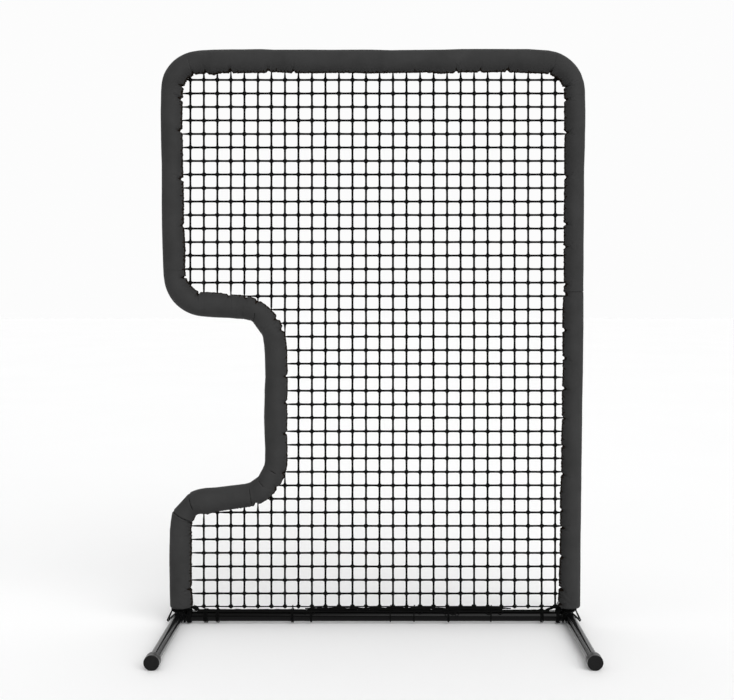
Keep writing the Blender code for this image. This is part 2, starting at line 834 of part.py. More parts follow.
def net_edge_height(line, mark, half_cell):
    """How far the net's edge cord stands from the tube at the middle of a cell."""
    side = line.net_side(mark)
    ends = [inside_bend(line.point(mark) + side * NET_STAND_OFF + line.heading(mark) * step, line)
            for step in (-half_cell, half_cell)]
    middle = (ends[0] + ends[1]) / 2
    return (middle - line.point(mark)).dot(side)


def make_lacing(twine, parts):
    """One cord wound round the bottom rail and the net's edge, close at both ends."""
    columns = net_columns()
    pitch = columns[1] - columns[0]
    side = Vector((0, 0, 1))
    height = net_rows()[0] - FOOT_Z
    top_r = NET_CORD / 2 + TOUCH * 2 + LACING_CORD / 2
    close = LACING_CORD + 2 * TOUCH
    start = -HALF_WIDTH + PAD_OD / 2 + LACING_CORD
    tight = start + close * END_TURNS
    first_space = columns[1] + pitch / 2
    slips = [close] * END_TURNS + [first_space - tight]
    spaces = len(columns) - 4
    turns = spaces // LACING_CELLS
    slips += [pitch * LACING_CELLS] * turns + [pitch] * (spaces - turns * LACING_CELLS)
    slips += [first_space - tight] + [close] * END_TURNS
    points = []
    x = start
    for slip in slips:
        centre = Vector((x, 0, FOOT_Z))
        points += loop_round(centre, side, LACING_LOOP_R, top_r, height, slip)
        x += slip
    wire("rail_lacing", points, LACING_CORD, twine, parts, LACING_SIDES)
    print("rail_lacing least gap to itself: %.2f mm" % (1000 * least_self_gap(points, LACING_CORD)))


def least_self_gap(path, diameter):
    """Least clear distance between stretches of a cord that are not next to each other."""
    samples = []
    along = 0.0
    for start, end in zip(path, path[1:]):
        count = max(1, math.ceil((end - start).length / SELF_GAP_STEP))
        for step in range(count):
            samples.append((along + (end - start).length * step / count,
                            start.lerp(end, step / count)))
        along += (end - start).length
    places = np.array([point for mark, point in samples])
    marks = np.array([mark for mark, point in samples])
    least = math.inf
    for place, mark in zip(places, marks):
        apart = np.linalg.norm(places - place, axis=1)
        far = np.abs(marks - mark) > math.pi * TUBE_R
        least = min(least, apart[far].min())
    return least - diameter


def build():
    clear_scene()
    parts = make_collection("padded_c_screen")
    cutters = make_collection("cutters")
    steel = make_material("black_steel", (0.012, 0.012, 0.013), 0.28)
    rubber = make_material("black_rubber", (0.02, 0.02, 0.02), 0.7)
    vinyl = make_material("charcoal_vinyl", (0.045, 0.045, 0.047), 0.62)
    twine = make_material("black_twine", (0.01, 0.01, 0.01), 0.8)
    zinc = make_material("zinc_plate", (0.45, 0.46, 0.47), 0.35, 1.0)
    dark = make_material("blackened_wire", (0.03, 0.03, 0.031), 0.4)
    line = FrameLine(frame_corners(), frame_radii())
    make_frame(line, steel, parts, cutters)
    make_rail(steel, parts)
    make_screws(line, zinc, parts)
    for label, side in (("left", -1), ("right", 1)):
        make_foot(label + "_foot", side, steel, parts, cutters)
        for place, end in (("front", -1), ("rear", 1)):
            make_cap("%s_foot_cap_%s" % (label, place), side, end, rubber, parts, cutters)
        make_pin(label + "_hitch_pin", side, dark, parts, cutters)
        make_bail(label + "_pin_bail", side, dark, parts)
    make_sleeves(line, vinyl, parts)
    make_net(line, twine, parts)
    make_ties(line, twine, parts)
    make_lacing(twine, parts)
    for item in list(parts.objects) + list(cutters.objects):
        item.location.y += FRAME_Y


build()
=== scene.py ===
import random
from math import acos, asin, atan2, cos, pi, radians, sin, sqrt, tan, tau

import bpy
import numpy as np
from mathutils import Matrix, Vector, noise


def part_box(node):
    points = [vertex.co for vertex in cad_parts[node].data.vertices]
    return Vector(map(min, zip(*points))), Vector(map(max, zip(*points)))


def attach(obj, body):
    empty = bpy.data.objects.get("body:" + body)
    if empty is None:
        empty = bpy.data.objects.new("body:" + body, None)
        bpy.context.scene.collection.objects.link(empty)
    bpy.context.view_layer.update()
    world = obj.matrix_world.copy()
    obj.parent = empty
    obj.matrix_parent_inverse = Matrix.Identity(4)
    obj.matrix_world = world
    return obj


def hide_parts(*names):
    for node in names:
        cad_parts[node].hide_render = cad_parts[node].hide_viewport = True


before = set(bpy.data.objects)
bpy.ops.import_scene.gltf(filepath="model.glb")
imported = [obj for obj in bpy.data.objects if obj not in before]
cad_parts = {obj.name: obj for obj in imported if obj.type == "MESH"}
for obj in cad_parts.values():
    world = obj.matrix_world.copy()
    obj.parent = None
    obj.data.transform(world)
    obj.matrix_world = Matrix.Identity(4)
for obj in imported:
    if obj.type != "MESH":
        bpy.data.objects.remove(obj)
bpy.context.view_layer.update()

draw = random.Random(11)
millimetre = 0.001
planeY = 0.174  # the frame's plane in the shared frame; pieces are made about Y = 0
xAxis, yAxis, zAxis = np.eye(3)
hands = ((-1, "left"), (1, "right"))
print("frame loaded:", len(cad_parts), "nodes")


# camera at the photo's place, looking along +Y and a little down

cameraSetup = {
    "place": (0.0157, planeY - 3.777, 1.311), "down": 4.04, "lens": 49.59, "sensor": 36, "shift": -0.0151,
}


def addItem(name, data):
    item = bpy.data.objects.new(name, data)
    bpy.context.scene.collection.objects.link(item)
    return item


def addCamera():
    data = bpy.data.cameras.new("camera")
    data.lens = cameraSetup["lens"]
    data.sensor_width = cameraSetup["sensor"]
    data.shift_x = cameraSetup["shift"]
    item = addItem("camera", data)
    item.location = cameraSetup["place"]
    item.rotation_euler = (radians(90 - cameraSetup["down"]), 0, 0)
    bpy.context.scene.camera = item


addCamera()
print("camera placed")


# small mesh tools

def unit(rows):
    return rows / np.maximum(np.linalg.norm(rows, axis=-1, keepdims=True), 1e-12)


def wobble(x, y, z, scale):
    return noise.noise(Vector((x * scale, y * scale, z * scale)))


def circleTurns(count):
    return np.arange(count) * tau / count


def trace(count, spotAt):
    # what a function gives at even steps from 0 to 1
    return [spotAt(step / count) for step in range(count + 1)]


def newStore():
    return {"verts": [], "faces": [], "count": 0}


def addGrid(store, rings, closed=False):
    # quads between rings of points, with flat ends unless the rings close on themselves
    rings = np.asarray(rings, float)
    count, sides = rings.shape[:2]
    index = store["count"] + np.arange(count * sides).reshape(count, sides)
    store["verts"].append(rings.reshape(-1, 3))
    store["count"] += count * sides
    last = count if closed else count - 1
    lower, upper = index[:last], np.roll(index, -1, 0)[:last]
    quads = np.stack([lower, np.roll(lower, -1, 1), np.roll(upper, -1, 1), upper], -1)
    store["faces"] += quads.reshape(-1, 4).tolist()
    if not closed:
        store["faces"] += [index[0][::-1].tolist(), index[-1].tolist()]


def addTube(store, points, radius, sides=8, closed=False):
    # a round tube along the points, of one radius or one for each point
    points = np.asarray(points, float)
    count = len(points)
    ahead = np.roll(points, -1, 0) - points
    behind = points - np.roll(points, 1, 0)
    if not closed:
        ahead[-1] = behind[-1]
        behind[0] = ahead[0]
    heading = unit(unit(ahead) + unit(behind))
    normal = np.empty_like(points)
    here = yAxis if abs(heading[0][1]) < 0.9 else xAxis
    for step in range(count):
        here = here - heading[step] * (here @ heading[step])
        here = here / max(np.linalg.norm(here), 1e-9)
        normal[step] = here
    cross = np.cross(heading, normal)
    if closed:  # spread what the frame has turned by over the whole loop
        carried = normal[-1] - heading[0] * (normal[-1] @ heading[0])
        slip = atan2(carried @ cross[0], carried @ normal[0])
        spin = -slip * np.arange(count)[:, None] / count
        normal, cross = (normal * np.cos(spin) + cross * np.sin(spin),
                         cross * np.cos(spin) - normal * np.sin(spin))
    turn = circleTurns(sides)[None, :, None]
    size = np.broadcast_to(np.asarray(radius, float), (count,))[:, None, None]
    rim = np.cos(turn) * normal[:, None] + np.sin(turn) * cross[:, None]
    addGrid(store, points[:, None] + size * rim, closed)


def addTurned(store, profile, place, along, sides, closed=False, floor=None):
    # a profile of (radius, distance) pairs turned about an axis
    axis = np.array(along, float) / np.linalg.norm(along)
    first = unit(np.cross(axis, zAxis if abs(axis[2]) < 0.9 else xAxis))
    second = np.cross(axis, first)
    turn = circleTurns(sides)[:, None]
    rim = np.cos(turn) * first + np.sin(turn) * second
    rings = np.array([np.array(place) + axis * reach + rim * max(size, 1e-5) for size, reach in profile])
    if floor is not None:
        rings[:, :, 2] = np.maximum(rings[:, :, 2], floor)
    addGrid(store, rings, closed)


def smoothPath(points, steps, closed=False):
    # a smooth curve through a few points
    points = np.array(points, float)
    count = len(points)
    made = []
    for index in range(count if closed else count - 1):
        near = [index + shift for shift in (-1, 0, 1, 2)]
        near = [n % count if closed else min(max(n, 0), count - 1) for n in near]
        p0, p1, p2, p3 = (points[n] for n in near)
        for step in range(steps):
            t = step / steps
            made.append(0.5 * (2 * p1 + (p2 - p0) * t + (2 * p0 - 5 * p1 + 4 * p2 - p3) * t * t
                               + (3 * p1 - p0 - 3 * p2 + p3) * t ** 3))
    if not closed:
        made.append(points[-1])
    return np.array(made)


def makePiece(name, store, finishNames, standsFor=(), body="screen", sharp=50, kinds=None):
    # kinds: the finish of each face, by its place in finishNames
    mesh = bpy.data.meshes.new(name)
    mesh.from_pydata((np.concatenate(store["verts"]) + (0, planeY, 0)).tolist(), [], store["faces"])
    mesh.validate()
    for finishName in finishNames:
        mesh.materials.append(materials[finishName])
    if kinds:
        mesh.polygons.foreach_set("material_index", kinds)
    mesh.shade_smooth()
    mesh.set_sharp_from_angle(angle=radians(sharp))
    mesh.update()
    item = addItem(name, mesh)
    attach(item, body)
    if standsFor:
        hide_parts(*standsFor)
    return item


def makeTwine(name, store, standsFor=()):
    makePiece(name, store, ["twine"], standsFor)


# materials: dark and light tones, the scale of their patches, roughness and its spread over them,
# gloss, metal, and bumps as (texture, scale, detail or distortion, strength, depth)

finishes = {
    "vinyl": ((0.031, 0.031, 0.031), (0.038, 0.038, 0.0382), 14, 0.66, 0.08, 0.09, 0,
              (("Noise", 60, 3, 0.25, 0.0012), ("Voronoi", 820, 0, 0.35, 0.0003))),
    "foam": ((0.003, 0.0017, 0.0009), (0.015, 0.008, 0.004), 260, 0.95, 0.03, 0.1, 0,
             (("Noise", 1400, 2, 0.8, 0.0008),)),
    # the finish below is painted shade: a near-black finish for the bottoms of the deepest creases, standing
    # in for the shadow in the fold
    "seam": ((0.004, 0.004, 0.004), (0.01, 0.01, 0.01), 300, 0.8, 0.05, 0.05, 0, ()),
    "paint": ((0.003, 0.003, 0.0031), (0.006, 0.006, 0.0062), 35, 0.17, 0.05, 1.0, 0,
              (("Noise", 420, 3, 0.12, 0.0003),)),
    # the rail's finish below is painted shade: a darker, less glossy copy of the feet's paint, so the rail
    # reads darker
    "shadedRailPaint": ((0.0005, 0.0005, 0.0005), (0.0012, 0.0012, 0.0012), 35, 0.15, 0.05, 0.14, 0,
                  (("Noise", 420, 3, 0.12, 0.0003),)),
    "rubber": ((0.003, 0.003, 0.003), (0.006, 0.006, 0.006), 90, 0.34, 0.08, 0.16, 0,
               (("Noise", 1100, 3, 0.3, 0.0003),)),
    # the caps' side finish below is painted light: a lighter and glossier copy of the rubber, as if lit from
    # above
    "litCapSide": ((0.02, 0.02, 0.02), (0.034, 0.034, 0.034), 90, 0.32, 0.08, 0.9, 0,
              (("Noise", 1100, 3, 0.3, 0.0003),)),
    "twine": ((0.001, 0.001, 0.001), (0.003, 0.003, 0.0031), 380, 0.8, 0.08, 0.1, 0,
              (("Wave", 260, 1.2, 0.7, 0.0005),)),
    "wire": ((0.002, 0.002, 0.002), (0.006, 0.006, 0.006), 500, 0.4, 0.08, 0.12, 0,
             (("Noise", 2400, 2, 0.2, 0.0001),)),
    "zinc": ((0.42, 0.43, 0.44), (0.62, 0.63, 0.65), 700, 0.32, 0.08, 0.5, 1,
             (("Noise", 3000, 2, 0.25, 0.0001),)),
}
patchDetail, rampEnds = 4.0, (0.3, 0.7)


def setInputs(tree, node, inputs):
    # each input is given as a value or as the output that feeds it
    for name, value in inputs.items():
        if isinstance(value, bpy.types.NodeSocket):
            tree.links.new(value, node.inputs[name])
        else:
            node.inputs[name].default_value = value


def addNode(tree, kind, inputs):
    node = tree.nodes.new("ShaderNode" + kind)
    setInputs(tree, node, inputs)
    return node


def startMaterial(name):
    material = bpy.data.materials.new(name)
    material.use_nodes = True
    tree = material.node_tree
    return material, tree, tree.nodes["Principled BSDF"], addNode(tree, "TexCoord", {}).outputs["Object"]


def addTexture(tree, place, kind, scale, detail):
    extra = "Distortion" if kind == "Wave" else "Detail"
    texture = addNode(tree, "Tex" + kind, {"Vector": place, "Scale": scale, extra: detail})
    if kind == "Voronoi":
        texture.feature = "SMOOTH_F1"
        return texture.outputs["Distance"]
    if kind == "Wave":
        texture.wave_type, texture.bands_direction = "BANDS", "DIAGONAL"
    return texture.outputs["Fac"]


def addTones(tree, value, dark, light):
    ramp = addNode(tree, "ValToRGB", {"Fac": value})
    for element, position, tone in zip(ramp.color_ramp.elements, rampEnds, (dark, light)):
        element.position = position
        element.color = (*tone, 1)
    return ramp.outputs["Color"]


def addRange(tree, value, low, high, start=0.0, stop=1.0):
    return addNode(tree, "MapRange", {"Value": value, "From Min": start, "From Max": stop, "To Min": low,
                                      "To Max": high}).outputs["Result"]


def makeFinish(name):
    dark, light, patch, rough, spread, gloss, metal, bumps = finishes[name]
    material, tree, shader, place = startMaterial(name)
    patches = addTexture(tree, place, "Noise", patch, patchDetail)
    setInputs(tree, shader, {"Base Color": addTones(tree, patches, dark, light), "Metallic": metal,
                             "Roughness": addRange(tree, patches, rough + spread, rough - spread),
                             "Specular IOR Level": gloss})
    normal = {}
    for kind, scale, detail, strength, depth in bumps:
        height = addTexture(tree, place, kind, scale, detail)
        bump = addNode(tree, "Bump", {"Strength": strength, "Distance": depth, "Height": height, **normal})
        normal = {"Normal": bump.outputs["Normal"]}
    setInputs(tree, shader, normal)
    return material


materials = {name: makeFinish(name) for name in finishes}
print("materials made")


# the C: the covered tube's centreline, from the left foot round to the right

screen = {
    "halfWidth": 0.744, "base": 0.04575, "top": 2.107, "notchX": -0.367, "notchLow": 0.506,
    "notchHigh": 1.196, "lowSlope": 7.1, "highSlope": 4.1,
    "bends": (0.1143, 0.1397, 0.1397, 0.1143, 0.1143, 0.1143), "tube": 0.0381, "footZ": 0.0264,
}
halfWidth, footZ, tubeRadius = screen["halfWidth"], screen["footZ"], screen["tube"] / 2


def makeLine(step=0.0005):
    half, edge = halfWidth, screen["notchX"]
    fall, rise = ((half + edge) * tan(radians(screen[slope])) for slope in ("lowSlope", "highSlope"))
    corners = np.array([
        (-half, screen["base"]), (-half, screen["notchLow"] - fall), (edge, screen["notchLow"]),
        (edge, screen["notchHigh"]), (-half, screen["notchHigh"] + rise), (-half, screen["top"]),
        (half, screen["top"]), (half, screen["base"])])
    marks, points, bends, along = [], [], [], 0.0
    here = corners[0]
    for before, corner, after, radius in zip(corners, corners[1:], corners[2:], screen["bends"]):
        into, out = unit(corner - before), unit(after - corner)
        turn = acos(float(into @ out))
        start = corner - into * radius * tan(turn / 2)
        reach = np.linalg.norm(start - here)
        for share in np.arange(0, 1, step / reach):
            marks.append(along + reach * share)
            points.append(here + (start - here) * share)
        along += reach
        hand = 1 if into[0] * out[1] - into[1] * out[0] > 0 else -1
        centre = start + np.array((-into[1], into[0])) * radius * hand
        gap = start - centre
        arc = radius * turn
        bends.append((along, along + arc))
        for share in np.arange(0, 1, step / arc):
            angle = hand * turn * share
            c, s = cos(angle), sin(angle)
            marks.append(along + arc * share)
            points.append(centre + np.array((gap[0] * c - gap[1] * s, gap[0] * s + gap[1] * c)))
        along += arc
        here = corner + out * radius * tan(turn / 2)
    reach = np.linalg.norm(corners[-1] - here)
    for share in np.linspace(0, 1, int(reach / step)):
        marks.append(along + reach * share)
        points.append(here + (corners[-1] - here) * share)
    return np.array(marks), np.array(points), bends


lineMarks, linePoints, lineBends = makeLine()
lineSlopes = unit(np.gradient(linePoints, lineMarks, axis=0))
lineLength = float(lineMarks[-1])


def lineAt(marks):
    # centre points and the directions that face the net, as rows of X, Y, Z
    marks = np.atleast_1d(np.asarray(marks, float))
    x, z = (np.interp(marks, lineMarks, linePoints[:, k]) for k in (0, 1))
    dx, dz = (np.interp(marks, lineMarks, lineSlopes[:, k]) for k in (0, 1))
    nothing = np.zeros_like(x)
    return np.stack([x, nothing, z], 1), unit(np.stack([dz, nothing, -dx], 1))


# foam sleeves: one continuous surface, cut where one sleeve meets the next

sleeve = {
    "bore": 0.0243, "slit": 0.0036, "throat": 0.0275, "lip": 0.0024, "arcSteps": 58, "boreSteps": 12,
    "above": 0.0144, "cutBack": 0.0045, "seam": 0.0002, "rightJoint": 1.262, "bendExtra": 0.012,
    "endRound": 0.0065, "jointRound": 0.0003, "rightRound": 0.0022, "full": 0.0007,
    "lump": 0.0007, "lumpScale": (11, 1.3), "ripple": 0.0006, "rippleScale": (60, 2.2), "rippleLeast": 0.35,
    "pinchDepth": 0.0096, "pinchWidth": 0.009, "pinchFloor": 0.0285, "pinchShape": 1.15, "flapWidth": 0.0042,
    "ragged": 0.0021, "raggedScales": (80, 170), "raggedShare": 0.6, "slitRagged": 0.0012,
    "slitPinched": 0.0022, "lipPinched": 0.1, "crowd": 0.075, "drawnAngle": 1.25, "drawnFade": 0.85,
    "rippleAngle": 1.5, "lipBack": 0.0006, "lipDrawn": 0.0018, "lipLevel": 0.0003, "lipOpen": 0.0004,
    "bare": 6.2, "bareRagged": 6.0, "barePinched": 4.0, "bareLimits": (2, 11),
}
# how a sleeve's two ends are rounded, where either isn't a plain joint
sleeveEnds = {"left_lower": ("endRound", "jointRound"), "right_upper": ("jointRound", "rightRound"),
              "right_lower": ("rightRound", "endRound")}
# spacing of the rings (m), and their distances (mm) from pinches, flaps and the sleeve's ends
stations = {
    "spacing": 0.0036, "bend": (0.01, 0.0045), "crease": (0.005, 0.0009), "least": 0.0007, "endGap": 0.0006,
    "edge": 0.0003, "pinch": (0, 0.8, 1.7, 2.8, 4, 5.5, 7.5, 10, 13), "flap": (0, 2, 4, 6),
    "end": (0.4, 1, 1.8, 2.8, 4.2, 6, 8, 10),
}
# place along the line (cm), and how far the sleeve reaches outwards and towards the net (0.1 mm)
sleeveReach = np.array([
    (1, 314, 518), (3, 319, 526), (9, 322, 499), (19, 327, 502), (27, 304, 525), (33, 280, 510),
    (35, 305, 497), (37, 364, 487), (39, 387, 476), (42, 416, 408), (44, 453, 422), (47, 467, 489),
    (49, 471, 500), (53, 446, 453), (64, 450, 426), (69, 436, 446), (74, 435, 400), (79, 464, 403),
    (81, 441, 402), (88, 426, 408), (93, 444, 393), (100, 454, 418), (106, 435, 405), (110, 427, 431),
    (115, 395, 430), (117, 399, 432), (124, 411, 423), (129, 449, 386), (131, 437, 375), (139, 429, 388),
    (141, 393, 397), (142, 392, 402), (144, 422, 419), (146, 432, 437), (149, 446, 438), (152, 436, 436),
    (158, 451, 468), (161, 451, 463), (165, 443, 427), (171, 420, 460), (178, 376, 426), (182, 395, 406),
    (189, 410, 425), (196, 417, 394), (198, 417, 379), (206, 406, 394), (220, 391, 373), (228, 403, 386),
    (232, 407, 369), (240, 396, 382), (247, 371, 416), (251, 401, 411), (255, 399, 408), (262, 370, 446),
    (265, 388, 454), (268, 401, 474), (271, 409, 424), (285, 421, 414), (290, 402, 379), (296, 401, 422),
    (300, 401, 427), (318, 400, 417), (326, 400, 434), (333, 387, 417), (346, 398, 402), (352, 400, 449),
    (359, 421, 395), (368, 425, 398), (374, 429, 380), (383, 421, 419), (396, 346, 467), (406, 312, 442),
    (414, 338, 422), (420, 342, 416), (423, 338, 396), (427, 338, 406), (435, 326, 394), (438, 329, 382),
    (453, 344, 392), (479, 358, 354), (490, 379, 390), (510, 388, 353), (520, 381, 367), (530, 383, 355),
    (535, 385, 375), (549, 388, 359), (557, 390, 389), (571, 394, 370), (577, 395, 382), (582, 400, 367),
    (587, 403, 392), (593, 407, 390), (597, 407, 416), (600, 410, 412),
]) / (100, 10, 10)
outwards, netwards = 1, 2  # its columns, here in mm
# where a stitch draws the slit's edges in
pinches = [
    0.09, 0.371, 0.665, 0.746, 0.796, 0.937, 1.054, 1.152, 1.318, 1.354, 1.432, 1.467, 1.528, 1.649,
    1.774, 1.971, 2.143, 2.319, 2.435, 2.492, 2.588, 2.651, 2.741, 2.879, 2.972, 3.569, 3.657, 3.758,
    3.923, 4.045, 4.102, 4.222, 4.383, 4.556, 4.641, 4.778, 4.815, 4.95, 5.055, 5.168, 5.281, 5.387,
    5.494, 5.632, 5.697, 5.81, 5.933, 5.992,
]
# creases in the vinyl: start and end as (along, towards the net), then depth in mm
creases = [
    (2.593, -0.011, 2.586, 0.038, 1.2), (3.925, -0.023, 3.928, 0.038, 1.3), (4.04, -0.005, 4.047, 0.038, 1.3),
    (1.47, 0.004, 1.462, -0.044, 1.5), (1.419, -0.008, 1.406, -0.038, 2.2), (0.441, -0.05, 0.433, 0.01, 4.0),
    (0.373, -0.04, 0.377, 0.036, 4.2), (0.666, -0.03, 0.655, 0.03, 1.8), (0.724, -0.036, 0.724, -0.008, 2.4),
    (0.796, -0.018, 0.791, 0.002, 2.8), (1.512, -0.03, 1.514, 0.02, 0.8), (1.345, -0.03, 1.35, 0.0, 1.0),
    (5.925, 0.037, 5.965, 0.006, 1.5), (5.955, 0.038, 5.99, 0.0, 1.6), (5.9, 0.036, 5.925, 0.014, 1.2),
    (0.012, 0.046, 0.04, 0.01, 1.2), (0.066, 0.044, 0.084, 0.016, 1.2),
]
# how a crease's dent and the swell beside it spread, and how deep one is that gets painted shade, a dark line
# along its bottom
dentShape = {
    "width": 0.0014, "wide": 1.6, "narrowDepths": (1.3, 2.3), "swell": 0.3, "swellDepth": 2, "swellAt": 0.006,
    "swellWidth": 0.004, "leastSize": 0.01, "near": 0.02, "shadeDepth": 1.7, "shadeLine": 0.0011,
    "shadeFull": 2.4,
}
# runs of the outer edge that are drawn straight between two corners
facets = [(0.373, 0.441), (0.673, 0.73), (0.73, 0.782), (0.782, 0.807), (1.325, 1.412), (3.905, 3.925),
          (4.022, 4.046)]
# loose corners of the closure that stand out a little: place along, height in mm
flaps = [(2.676, 2.4), (2.861, 2.0), (0.47, 1.8), (0.488, 2.2), (1.56, 1.4), (3.515, 1.8), (5.57, 1.4)]


def reachAt(marks, column):
    return np.interp(marks, sleeveReach[:, 0], sleeveReach[:, column]) * millimetre


def sleeveRanges():
    marks = [sleeve["above"]]
    for begin, end in lineBends:
        marks += [begin - sleeve["bendExtra"], end + sleeve["bendExtra"]]
    marks += [lineBends[-1][1] + screen["top"] - screen["bends"][-1] - sleeve["rightJoint"],
              lineLength - sleeve["above"]]
    names = ["left_lower", "left_lower_corner", "lower_bar", "notch_lower_corner", "notch_upright",
             "notch_upper_corner", "upper_bar", "left_upper_corner", "left_upper", "top_left_corner",
             "top", "top_right_corner", "right_upper", "right_lower"]
    return zip(names, marks, marks[1:])


def stationMarks(begin, end):
    # close together at bends, pinches, creases, flaps and ends
    marks = set(np.linspace(begin, end, max(2, int((end - begin) / stations["spacing"]))).tolist())
    runs = [(*bend, *stations["bend"]) for bend in lineBends]
    runs += [(min(a, b), max(a, b), *stations["crease"]) for a, u, b, v, depth in creases]
    for low, high, extra, step in runs:
        marks |= set(np.arange(low - extra, high + extra, step).tolist())
    spots = [(place, "pinch") for place in pinches] + [(place, "flap") for place, height in flaps]
    for hand, label in hands:
        for place, kind in spots:
            marks |= {place + hand * shift * millimetre for shift in stations[kind]}
        edge = begin if hand > 0 else end
        marks |= {edge + hand * shift * millimetre for shift in stations["end"]}
    marks = sorted(mark for mark in marks if begin + stations["edge"] < mark < end - stations["edge"])
    kept = [begin]
    for mark in marks:
        if mark - kept[-1] > stations["least"]:
            kept.append(mark)
    if end - kept[-1] < stations["endGap"]:
        kept.pop()
    return np.array(kept + [end])


# folds that spread over the vinyl from each stitch, written as creases: how far each may swing (mm),
# the share of it at the stitch, where it starts, how far it reaches and how deep it is (mm)
fold = {"swings": ((-15, -5), (4, 14)), "lean": 0.12, "start": 0.041, "reach": (0.014, 0.03), "depth": 2.0}
pinchForce = [draw.uniform(0.55, 1.15) for pinch in pinches]  # how hard each stitch is drawn
folds = []
for place, force in zip(pinches, pinchForce):
    for swing in [draw.uniform(*limits) * millimetre for limits in fold["swings"]]:
        folds.append((place + fold["lean"] * swing, fold["start"], place + swing,
                      fold["start"] - draw.uniform(*fold["reach"]), fold["depth"] * force))


def sleeveLumps(marks, angle, close):
    # broad lumps, and a ripple that is strongest near the slit
    (length, girth), (fineLength, fineGirth) = sleeve["lumpScale"], sleeve["rippleScale"]
    lumps = np.empty_like(angle)
    for row, mark in enumerate(marks):
        for column, turn in enumerate(angle[row]):
            c, s = cos(turn), sin(turn)
            broad = wobble(mark * length, c * girth, s * girth, 1)
            fine = wobble(mark * fineLength, c * fineGirth + 7, s * fineGirth, 1)
            lumps[row, column] = (sleeve["lump"] * broad
                                  + sleeve["ripple"] * fine * (sleeve["rippleLeast"] + close[row, column]))
    return lumps


def creaseSkin(marks, shift, size, u, v):
    # dent the skin along creases and folds, and mark the bottoms of the deepest creases for painted shade
    creaseShade = np.zeros(u.shape, bool)
    for crease in creases + folds:
        a, ua, b, ub, depth = crease
        if marks[-1] < min(a, b) - dentShape["near"] or marks[0] > max(a, b) + dentShape["near"]:
            continue
        run = np.array((b - a, ub - ua))
        gap = np.stack([np.broadcast_to(marks[:, None] - a, u.shape), u - ua], -1)
        share = np.clip((gap @ run) / (run @ run), 0, 1)
        apart = np.linalg.norm(gap - share[..., None] * run, axis=-1)
        low, high = dentShape["narrowDepths"]
        wide = dentShape["width"] * (1 if low < depth < high else dentShape["wide"])
        dent = depth * millimetre / (1 + (apart / wide) ** 2)
        swell = (dentShape["swell"] * min(depth, dentShape["swellDepth"]) * millimetre
                 * np.exp(-((apart - dentShape["swellAt"]) / dentShape["swellWidth"]) ** 2))
        scale = 1 - (dent - swell) / np.maximum(size, dentShape["leastSize"])
        u = shift + (u - shift) * scale
        v = v * scale
        # painted shade: faces along the bottom of a deep crease take the dark finish
        if depth > dentShape["shadeDepth"] and crease in creases:
            creaseShade |= apart < dentShape["shadeLine"] * min(1, depth / dentShape["shadeFull"])
    return u, v, creaseShade


